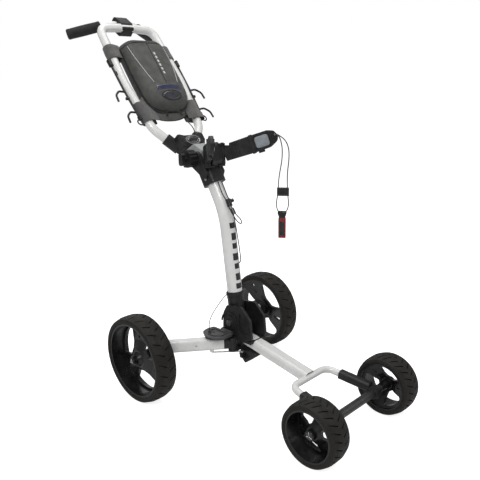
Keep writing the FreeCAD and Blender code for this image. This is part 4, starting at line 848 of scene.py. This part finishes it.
class Cords:
    """The five cords of the cart."""

    bungee = ((198, 840, 1), (198, 841, 12), (204, 842, 21), (214, 836, 22), (219, 820, 12),
              (223, 795, 4), (222, 761, 1), (216, 727, 0), (211, 695, 0), (210, 664, 0),
              (207, 638, 0), (203, 616, 0), (207, 595, 0), (216, 582, 0), (230, 582, 0),
              (240, 595, 0), (245, 615, 0), (242, 638, 0), (240, 664, 0), (239, 694, 0),
              (240, 726, 0), (244, 758, -1), (244, 790, -3), (237, 812, -7), (226, 825, -14),
              (214, 832, -21), (204, 838, -21), (198, 841, -12), (198, 840, -1))
    loop = ((-9, -82.3, 693.5), (-10, -92.5, 675), (-10, -103, 656), (-9, -116, 641), (-8, -127, 622),
            (-5, -136, 603), (-5, -149, 590), (-7, -161, 579), (-4, -170, 571), (3, -174, 568),
            (10, -170, 571), (12, -161, 580), (8, -148, 591), (4, -137, 605), (1, -130, 622),
            (2, -123, 637), (5, -107, 653), (6, -96, 672), (6, -84, 692.5))
    line = ((1, -140, 600), (8, -137, 580), (12, -139, 553), (16, -141.5, 521), (18, -146, 489),
            (19, -150, 460), (18.5, -153, 441), (17, -151.5, 430), (10, -140, 424), (4, -129, 421))
    cable = ((-13, -136, 331), (-24, -126, 323), (-36, -116, 305), (-52, -107, 281),
             (-70, -103, 259), (-87, -106, 238), (-97.5, -116.5, 221), (-99, -119, 208.8))
    tether = ((34, -66, 32), (36, -48, 31), (42, -30, 26), (50, -12, 14), (57, 6, 2), (62, 24, -6))

    def build(self) -> None:
        """Makes every cord along its route."""
        hung = tuple(hang_point(*point) for point in self.bungee)
        routes = (self.loop, self.line, self.cable)
        loop, line, cable = [tuple(cart(*point) for point in route) for route in routes]
        tether = tuple(HANDLE.at(*point) for point in self.tether)
        adjuster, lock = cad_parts["bungee_adjuster"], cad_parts["cord_lock"]
        CordRun("bungee_cord", Body.ARM_FAR, hung, 0.600, 0.0034, "limp", "hanging").build([adjuster])
        CordRun("release_cord", Body.MAST, loop, 0.320, 0.0034, "limp", "hanging").build([lock])
        CordRun("release_line", Body.MAST, line, 0.199, 0.0034, "limp", "hanging").build()
        CordRun("release_cable", Body.FRAME, cable, 0.161, 0.0026, "stiff", "loose", CABLE_SKIN).build()
        CordRun("console_tether", Body.HANDLE, tether, 0.102, 0.0034, "medium", "taut").build()


# ---- the console ------------------------------------------------------------
@dataclass
class ConsoleLid:
    """The domed lid with its piping, print, glossy strip and oval pad. Sizes in millimetres."""

    half: float = 88.0
    low: float = 40.0
    hinge: float = 289.4
    rim: float = 18.8
    roundness: float = 2.5
    nose_share: float = 0.78
    rings: int = 26
    strip_half: float = 47.0
    oval_middle: Flat = (0.0, 82.0)
    profile: tuple[Flat, ...] = (
        (0, 18.8), (1.5, 26), (4, 33), (8, 40), (13, 46), (18, 50), (23, 52.6), (27, 53.6),
        (34, 54.4), (50, 55.8), (70, 56.8), (88, 57.2))

    def half_width(self, along: float, inset: float) -> float:
        """Half the outline's width at a place up the console, drawn in by an inset."""
        half, low = self.half - inset, self.low + inset
        if along <= low or half <= 0:
            return 0.0
        width = half * self.taper(along)
        nose = self.nose_share * half
        if along < low + nose:
            t = 1 - (along - low) / nose
            width *= max(0.0, 1 - t ** self.roundness) ** (1 / self.roundness)
        return width

    @staticmethod
    def taper(along: float) -> float:
        """The share of its greatest width that the lid has at a place up the console."""
        return 1 - 0.055 * ((along - 165) / 130) ** 2

    def level(self, inset: float, along: float) -> float:
        """The surface's height above the plane at an inset and a place up the console."""
        out = self.profile[-1][1]
        for (low, first), (high, last) in zip(self.profile, self.profile[1:]):
            if inset <= high:
                out = first + (last - first) * (inset - low) / (high - low)
                break
        fall = max(0.0, min(1.0, (150 - along) / 110))
        return self.rim + (out - self.rim) * (1 - 0.2 * fall * fall)

    def inset_at(self, across: float, along: float) -> float:
        """The inset of the ring that passes through a place."""
        low, high = 0.0, self.half
        for _ in range(30):
            middle = (low + high) / 2
            if self.half_width(along, middle) > abs(across):
                low = middle
            else:
                high = middle
        return low

    def on(self, across: float, along: float, lift: float = 0.0) -> Vector:
        """A point on the lid's surface, lifted off it."""
        return HANDLE.at(across, along, self.level(self.inset_at(across, along), along) + lift)

    def edge(self, inset: float, count: int = 41) -> list[Flat]:
        """The open outline from the hinge down one side, round the nose and up the other."""
        half, low = self.half - inset, self.low + inset
        nose = max(self.nose_share * half, 0.1)
        steps = 16
        places = [self.hinge + (low + nose - self.hinge) * step / steps for step in range(steps)]
        points = [(-self.half_width(along, inset), along) for along in places]
        for step in range(count + 1):
            angle = math.pi * step / count
            power = 2 / self.roundness
            along = low + nose * (1 - abs(math.sin(angle)) ** power)
            share = math.copysign(abs(math.cos(angle)) ** power, math.cos(angle))
            points.append((-share * half * self.taper(along), along))
        return points + [(self.half_width(along, inset), along) for along in reversed(places)]

    def build(self) -> None:
        """Makes the lid and everything on it."""
        self.cover()
        self.piping()
        self.strip()
        self.oval()
        self.print()
        self.seams()

    def cover(self) -> None:
        """The padded skin, with a rolled edge."""
        rings = []
        for index in range(self.rings + 1):
            t = index / self.rings
            inset = (self.half - 0.6) * t ** 1.7
            edge = self.edge(inset)
            rings.append([HANDLE.at(across, along, self.level(inset, along)) for across, along in edge])
        piece = loft("console_cover", rings, closed=False)
        modify(piece, "SOLIDIFY", thickness=0.0022, offset=-1.0)
        modify(piece, "SUBSURF", levels=1, render_levels=1)
        settle(piece, Body.LID.value, LID_SHELL, "console_lid", "console_lid")

    def piping(self) -> None:
        """The silver piping down both sides of the top panel."""
        for side in Side:
            run = []
            for step in range(25):
                t = step / 24
                along = 283 - 150 * t
                across = 73 - 5 * t - 20 * t ** 2.2
                run.append(self.on(side.value * across, along, 0.2))
            piece = line_piece(f"lid_piping_{side.label}", [run], 1.1)
            settle(piece, Body.LID.value, PIPING, "lid_trim")

    def patch(self, name: str, outline: Sequence[Flat], thickness: float) -> bpy.types.Object:
        """A thin label that follows the lid's surface.

        Args:
            name: the piece's name.
            outline: (across, along) points round its edge.
            thickness: in millimetres.

        Returns:
            The new object.
        """
        middle = [sum(values) / len(outline) for values in zip(*outline)]
        rings = []
        for share, lift in ((1.0, 0.0), (1.0, thickness * 0.6), (0.97, thickness), (0.7, thickness),
                            (0.4, thickness), (0.02, thickness)):
            ring = []
            for point in outline:
                across, along = [m + (value - m) * share for m, value in zip(middle, point)]
                ring.append(self.on(across, along, lift))
            rings.append(ring)
        return loft(name, rings, capped=True)

    def strip(self) -> None:
        """The dark glossy strip across the nose."""
        outline = []
        half = self.strip_half
        for way, level in ((1, 122), (-1, 107)):
            for step in range(21):
                across = way * (2 * half * step / 20 - half)
                outline.append((across, level - 3 * (across / half) ** 2))
        piece = self.patch("lid_strip", outline, 0.9)
        settle(piece, Body.LID.value, BLUE_STRIP, "lid_trim", "lid_trim")

    def oval(self) -> None:
        """The raised oval pad below the strip, inside a ridge."""
        pad = self.patch("lid_oval", ellipse(self.oval_middle, (35, 15), 40), 1.8)
        settle(pad, Body.LID.value, LID_NOSE, "lid_trim")
        run = [self.on(*point, 0.5) for point in ellipse(self.oval_middle, (39.2, 17.4), 40)]
        ridge = line_piece("lid_oval_ridge", [run], 1.0, closed=True)
        settle(ridge, Body.LID.value, BLACK_MOULDING, "lid_trim")

    def print(self) -> None:
        """Plain dashes of pale print down the top panel."""
        for index in range(6):
            along = 248 - 15.5 * index
            outline = rounded([(8, along - 5), (15.5, along - 5), (15.5, along + 5), (8, along + 5)], 2.5, 3)
            piece = self.patch(f"lid_dash_{index + 1}", outline, 0.35)
            settle(piece, Body.LID.value, PALE_PRINT, "lid_trim")

    def seams(self) -> None:
        """Stitches beside the piping and along the hinge."""
        stitches = []
        lift = 0.15
        for side in Side:
            for step in range(34):
                t = step / 34
                along = 280 - 142 * t
                across = side.value * (69 - 5 * t - 20 * t ** 2.2)
                stitches.append([self.on(across, along, lift), self.on(across, along - 2.4, lift)])
        for step in range(31):
            across = -62 + 124 * step / 30
            stitches.append([self.on(across - 1.2, 284, lift), self.on(across + 1.2, 284, lift)])
        settle(line_piece("lid_stitches", stitches, 0.3), Body.LID.value, WRAP_CLOTH, "console_lid")


@dataclass
class ConsoleBase:
    """What is sewn and clipped to the console's tray. Sizes in millimetres."""

    lid: ConsoleLid
    wrap_reach: float = 17.6
    tube_knots: tuple[Flat, ...] = ((-82, 44), (-10, 98), (40, 106), (165, 119), (300, 114), (395, 108))

    def build(self) -> None:
        """Makes the zip, its pulls, the apron and the wraps."""
        self.zip()
        self.apron()
        for side in Side:
            self.wrap(side, 262, 314, "upper", 0)
            self.wrap(side, 14, 86, "lower", 18 if side is Side.FAR else 4)

    def zip(self) -> None:
        """The zip round the rim with its two pulls."""
        for name, level in (("zip_tape_upper", 19.4), ("zip_tape_lower", 15.2)):
            run = [HANDLE.at(across, along, level) for across, along in self.lid.edge(-0.8)]
            settle(line_piece(name, [run], 1.3), Body.HANDLE.value, ZIP_TAPE, "console_tray")
        for index, (across, angle) in enumerate(((-24, -0.5), (22, 0.5))):
            turn = Matrix.Rotation(angle, 3, HANDLE.out)
            plane = Plane(HANDLE.at(across, 42, 17), turn @ HANDLE.across, turn @ HANDLE.along, HANDLE.out)
            body = plate(f"zip_slider_{index + 1}", plane,
                         rounded([(-4, -5), (4, -5), (5, 5), (-5, 5)], 2), -1, 5.5, 0.8)
            settle(body, Body.HANDLE.value, BLACK_GLOSS, "console_tray")
            tab = plate(f"zip_tab_{index + 1}", plane,
                        rounded([(-3.5, -22), (3.5, -22), (2.4, -3), (-2.4, -3)], 2), 1.2, 3.6, 0.6)
            settle(tab, Body.HANDLE.value, BLACK_MOULDING, "console_tray")

    def apron(self) -> None:
        """The grey flap that flares out round the console's lower end, with its eyelets."""
        edge = [point for point in self.lid.edge(-0.6, 64) if point[1] < 112]
        middle = Vector((0, 118))
        rows = []
        for share, level in ((0.0, 13.5), (0.25, 10.5), (0.55, 5.5), (0.8, 0.0), (1.0, -5.0)):
            row = []
            for across, along in edge:
                away = (Vector((across, along)) - middle).normalized()
                fade = min(1.0, (114 - along) / 40)
                place = Vector((across, along)) + away * 20 * share * fade
                row.append(HANDLE.at(place.x, place.y, level))
            rows.append(row)
        piece = loft("console_apron", rows, closed=False)
        modify(piece, "SOLIDIFY", thickness=0.0016, offset=1.0)
        modify(piece, "SUBSURF", levels=1, render_levels=1)
        settle(piece, Body.HANDLE.value, APRON_CLOTH, "console_tray")
        hem = line_piece("apron_hem", [rows[-1]], 1.3)
        settle(hem, Body.HANDLE.value, CASE_CLOTH, "console_tray")
        for index in range(9):
            angle = math.radians(205 + 130 * index / 8)
            across, along = 62 * math.cos(angle), 102 + 71 * math.sin(angle)
            centre = HANDLE.at(across, along, 3.2)
            away = HANDLE.across * math.cos(angle) + HANDLE.along * math.sin(angle)
            out = (HANDLE.out + away * 0.6).normalized()
            profile = [(-2, 2.2), (1.2, 2.6), (1.8, 2.2), (1.4, 1.2)]
            eyelet = lathe(f"apron_eyelet_{index + 1}", centre, out, profile, 20)
            settle(eyelet, Body.HANDLE.value, STEEL, "console_tray")

    def tube_at(self, along: float) -> float:
        """Where the loop's tube runs, half the loop's width at a place up the handle."""
        for (low, first), (high, last) in zip(self.tube_knots, self.tube_knots[1:]):
            if along <= high:
                return first + (last - first) * (along - low) / (high - low)
        return self.tube_knots[-1][1]

    def wrap(self, side: Side, low: float, high: float, place: str, corner: float) -> None:
        """A cloth tab from the console's side round the loop's tube and back.

        Args:
            side: which side of the console.
            low: its lower edge up the handle.
            high: its upper edge.
            place: upper or lower, for its name.
            corner: how far its outer lower corner hangs past the tube.
        """
        rows, steps = [], 14
        for index in range(steps + 1):
            t = index / steps
            along = low + (high - low) * t
            tube, reach = self.tube_at(along), self.wrap_reach
            inner = min(self.lid.half_width(max(along, 58), 0), 84) - 3
            flare = corner * (1 - t) ** 2
            row = [(inner - 2, 9.5), (inner + (tube - inner) * 0.4, 13.5), (tube - 6, reach)]
            for turn in range(8):
                angle = math.radians(100 - 200 * turn / 7)
                stretch = flare * max(0.0, math.cos(angle))
                row.append((tube + reach * math.cos(angle) + stretch, reach * math.sin(angle)))
            row += [(tube - 8, -reach + 0.6), (inner + (tube - inner) * 0.4, -13), (inner - 4, -9.5)]
            ripple = 0.5 * math.sin(9 * t)
            rows.append([HANDLE.at(side.value * x, along, out + ripple) for x, out in row])
        if side is Side.NEAR:
            rows = [list(reversed(row)) for row in rows]
        piece = loft(f"wrap_{place}_{side.label}", rows, closed=False)
        modify(piece, "SOLIDIFY", thickness=0.0018, offset=1.0)
        modify(piece, "SUBSURF", levels=2, render_levels=2)
        settle(piece, Body.HANDLE.value, WRAP_CLOTH, "console_wraps", "console_wraps")
        stitches = []
        for row in (rows[1], rows[steps - 1]):
            for a, b in zip(row, row[1:]):
                for share in (0.1, 0.6):
                    stitches.append([a.lerp(b, share), a.lerp(b, share + 0.3)])
        stitch = line_piece(f"wrap_stitch_{place}_{side.label}", stitches, 1.05)
        settle(stitch, Body.HANDLE.value, CASE_CLOTH, "console_wraps")


# ---- soft goods and small parts ---------------------------------------------
@dataclass
class Grips:
    """The two foam grips. Sizes in millimetres."""

    length: float = 112.0
    bar_middle: Point = (0, 426, -13)
    bend: Point = (50, 0, 0)
    tip: Point = (172, 60, -36)

    def profile(self) -> list[Flat]:
        """A bead at the inner end, a softly swollen body and a domed outer end."""
        points = [(0, 11.2), (0.1, 14.5), (1.2, 16.4), (3.5, 17.3), (7, 17.5), (10, 17.0)]
        for step in range(15):
            t = step / 14
            points.append((12 + 92 * t, 16.9 + 0.7 * math.sin(math.pi * t)))
        points += [(107, 17.2), (110, 17.4), (113, 16.9), (115, 15.2), (116, 12), (116.1, 6)]
        return points + [(115.4, 4), (115.2, 0.4)]

    def build(self) -> None:
        """Turns a grip on each end of the bar."""
        centre = HANDLE.at(*self.bar_middle)
        for side in Side:
            flip = Matrix.Diagonal((side.value, 1, 1)) * MM
            tip = flip @ Vector(self.tip)
            axis = (tip - flip @ Vector(self.bend)).normalized()
            start = centre + tip - axis * self.length * MM
            grip = lathe(f"grip_{side.label}", start, axis, self.profile(), 56)
            settle(grip, Body.BAR.value, GRIP_FOAM, "grips", "grips")


@dataclass
class CradlePads:
    """The pale cushions in the cradle arms' frames. Sizes in millimetres."""

    low: Flat = (112.6, -19.4)
    high: Flat = (161.4, 20.4)
    back: float = 2.5
    crown: float = 8.6
    corner_power: float = 0.42
    side_pull: float = 0.035

    def build(self) -> None:
        """Makes both pads, crowned and pulled in between their corners."""
        for side in Side:
            plane = arm_plane(side)
            middle = ((self.low[0] + self.high[0]) / 2, (self.low[1] + self.high[1]) / 2)
            half = ((self.high[0] - self.low[0]) / 2, (self.high[1] - self.low[1]) / 2)
            rings = []
            for share, rise in ((0.9, 0.0), (1.0, 0.18), (1.0, 0.36), (0.97, 0.52), (0.9, 0.72),
                                (0.75, 0.9), (0.5, 1.0), (0.2, 1.03), (0.02, 1.03)):
                ring = []
                for step in range(48):
                    angle = 2 * math.pi * step / 48
                    c, s = math.cos(angle), math.sin(angle)
                    u = math.copysign(abs(c) ** self.corner_power, c)
                    v = math.copysign(abs(s) ** self.corner_power, s)
                    pull = 1 - self.side_pull * (1 - abs(u * v))
                    ring.append(plane.at(middle[0] + half[0] * share * u * pull,
                                         middle[1] + half[1] * share * v * pull,
                                         self.back + self.crown * rise))
                rings.append(ring)
            pad = loft(f"pad_{side.label}", rings, capped=True)
            modify(pad, "SUBSURF", levels=1, render_levels=1)
            body = Body.ARM_FAR if side is Side.FAR else Body.ARM_NEAR
            settle(pad, body.value, PAD_CLOTH, f"cradle_pad_{side.label}", f"cradle_pad_{side.label}")
            welt = line_piece(f"pad_welt_{side.label}", [rings[3]], 0.9, closed=True)
            settle(welt, body.value, CASE_CLOTH, f"cradle_pad_{side.label}")


class PullTag:
    """The red pull tag on the elastic loop, with its dark clip. Sizes in millimetres."""

    def build(self) -> None:
        """Makes the tag, the clip above it and the stitches round it."""
        origin = hang_point(223, 500)
        ahead = (hang_point(323, 500) - origin).normalized()
        out = Vector((ahead.y, -ahead.x, 0))
        plane = Plane(origin, ahead, Vector((0, 0, 1)), out)
        outline = rounded([(-12.5, 0), (12.5, 0), (12.5, 66), (9, 77), (-9, 77), (-12.5, 66)], 3)
        tag = plate("pull_tag", plane, outline, -2.6, 2.6, 0.9)
        settle(tag, Body.ARM_FAR.value, TAG_RED, "pull_tab", "pull_tab")
        outline = rounded([(-10, 70), (10, 70), (15, 84), (14, 92), (-14, 92), (-15, 84)], 3)
        clip = plate("pull_clip", plane, outline, -4, 4, 1.2)
        settle(clip, Body.ARM_FAR.value, BLACK_MOULDING, "pull_tab")
        stitches = []
        for face in (-1, 1):
            for across in (-9.6, 9.6):
                for step in range(14):
                    z = 4 + 4.6 * step
                    stitches.append([plane.at(across, z, face * 2.6), plane.at(across, z + 2.6, face * 2.6)])
        thread = line_piece("pull_tag_stitches", stitches, 0.45)
        settle(thread, Body.ARM_FAR.value, CASE_CLOTH, "pull_tab")
        for face, name in ((1, "front"), (-1, "back")):
            band = plate(f"pull_tag_band_{name}", plane, rounded([(-7, 10), (7, 10), (7, 58), (-7, 58)], 2),
                         face * 2.9 - 0.4, face * 2.9 + 0.4, 0.2)
            settle(band, Body.ARM_FAR.value, DARK_PRINT, "pull_tab")


@dataclass
class Marks:
    """Plain printed bars on the mast and the inlay of the oval plate. Sizes in millimetres."""

    bars: int = 8
    bars_top: float = 596.0
    bar_pitch: float = 33.0
    badge_middle: Flat = (0.0, -88.0)

    def build(self) -> None:
        """Lays the bars on the mast's front and the inlay in the plate."""
        for index in range(self.bars):
            self.bar(index)
        inlay = plate("badge_inlay", HANDLE, ellipse(self.badge_middle, (25.2, 13.4), 48), 42.6, 43.6, 0.3)
        settle(inlay, Body.HANDLE.value, BLACK_GLOSS, "saddle_badge")
        run = [HANDLE.at(*point, 43.7) for point in ellipse(self.badge_middle, (20.16, 9.648), 48)]
        ring = line_piece("badge_ring", [run], 0.5, closed=True)
        settle(ring, Body.HANDLE.value, BADGE_METAL, "saddle_badge")

    def bar(self, index: int) -> None:
        """One bar that follows the mast's front, its place given by its number."""
        top = self.bars_top - self.bar_pitch * index
        width = 19.0 if index % 3 else 23.0
        height = 23.0 if index % 2 else 18.0
        aim, steps = Vector((0, 1, 0.08)), 8
        rows = []
        for step in range(steps + 1):
            z = top - height * step / steps
            row = []
            for column in range(steps + 1):
                start = cart(width * column / steps - width / 2, -260, z - 40)
                row.append(touch("mast_tube", start, aim, 0.25))
            rows.append(row)
        piece = loft(f"mast_bar_{index + 1}", rows, closed=False)
        modify(piece, "SOLIDIFY", thickness=0.0002, offset=1.0)
        settle(piece, Body.MAST.value, DARK_PRINT, "mast_tube")


FRONT_HUB_FACE = 24.5


class HubCaps:
    """The small turned caps with three bright arms at the wheels' middles."""

    def build(self) -> None:
        """Dresses all four hubs."""
        for side in Side:
            for end, body, node, radius in (("rear", "rear_release", "rear_button", 9.0),
                                            ("front", "front_wheel", "front_rim", 13.0)):
                self.cap(side, end, f"{body}_{side.label}", f"{node}_{side.label}", radius)

    def cap(self, side: Side, end: str, body: str, node: str, radius: float) -> None:
        """One hub's cap and arms.

        Args:
            side: which side of the cart.
            end: rear or front.
            body: the body that it rides on.
            node: the CAD node whose middle it sits on.
            radius: the cap's radius in millimetres.
        """
        tyre_low, tyre_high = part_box(f"{end}_tyre_{side.label}")
        centre = (tyre_low + tyre_high) / 2
        out = Vector((side.value, 0, 0))
        low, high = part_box(node)
        base = 0.0
        if end == "rear":
            base = 0.2
            centre.x = high.x if side is Side.FAR else low.x
        else:
            centre.x += side.value * FRONT_HUB_FACE * MM
        plane = Plane(centre, Vector((0, side.value, 0)), Vector((0, 0, 1)), out)
        profile = [(-2, radius), (base, radius), (base + 1.2, radius - 0.8), (base + 2.0, radius * 0.6),
                   (base + 2.2, 0.3)]
        dome = lathe(f"{end}_cap_{side.label}", centre, out, profile, 36)
        settle(dome, body, BLACK_GLOSS, node)
        for arm in range(3):
            angle = math.radians(90 + 120 * arm)
            outline = []
            for along, wide in ((1.5, 1.7), (radius * 0.9, 1.2), (radius * 0.9, -1.2), (1.5, -1.7)):
                outline.append((along * math.cos(angle) - wide * math.sin(angle),
                                along * math.sin(angle) + wide * math.cos(angle)))
            piece = plate(f"{end}_arm_{side.label}_{arm + 1}", plane, rounded(outline, 0.8, 2), base + 0.6,
                          base + 2.6, 0.3)
            settle(piece, body, BADGE_METAL, node)


def dress_nodes() -> None:
    """Gives every carried-over CAD node its finish."""
    for finish, names in NODE_FINISHES.items():
        for name in names:
            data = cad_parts[name].data
            data.materials.clear()
            data.materials.append(finish.material())
            LOG.info("%s keeps its shape in %s", name, finish.name)


def main() -> None:
    """Builds the studio, the cords, the finishes and every added piece."""
    logging.basicConfig(level=logging.INFO, format="%(name)s: %(message)s")
    Studio().build()
    Cords().build()
    dress_nodes()
    lid = ConsoleLid()
    for group in (lid, ConsoleBase(lid), Grips(), CradlePads(), PullTag(), Marks(), HubCaps()):
        group.build()
        LOG.info("%s is done", type(group).__name__)


if __name__ == "__main__":
    main()
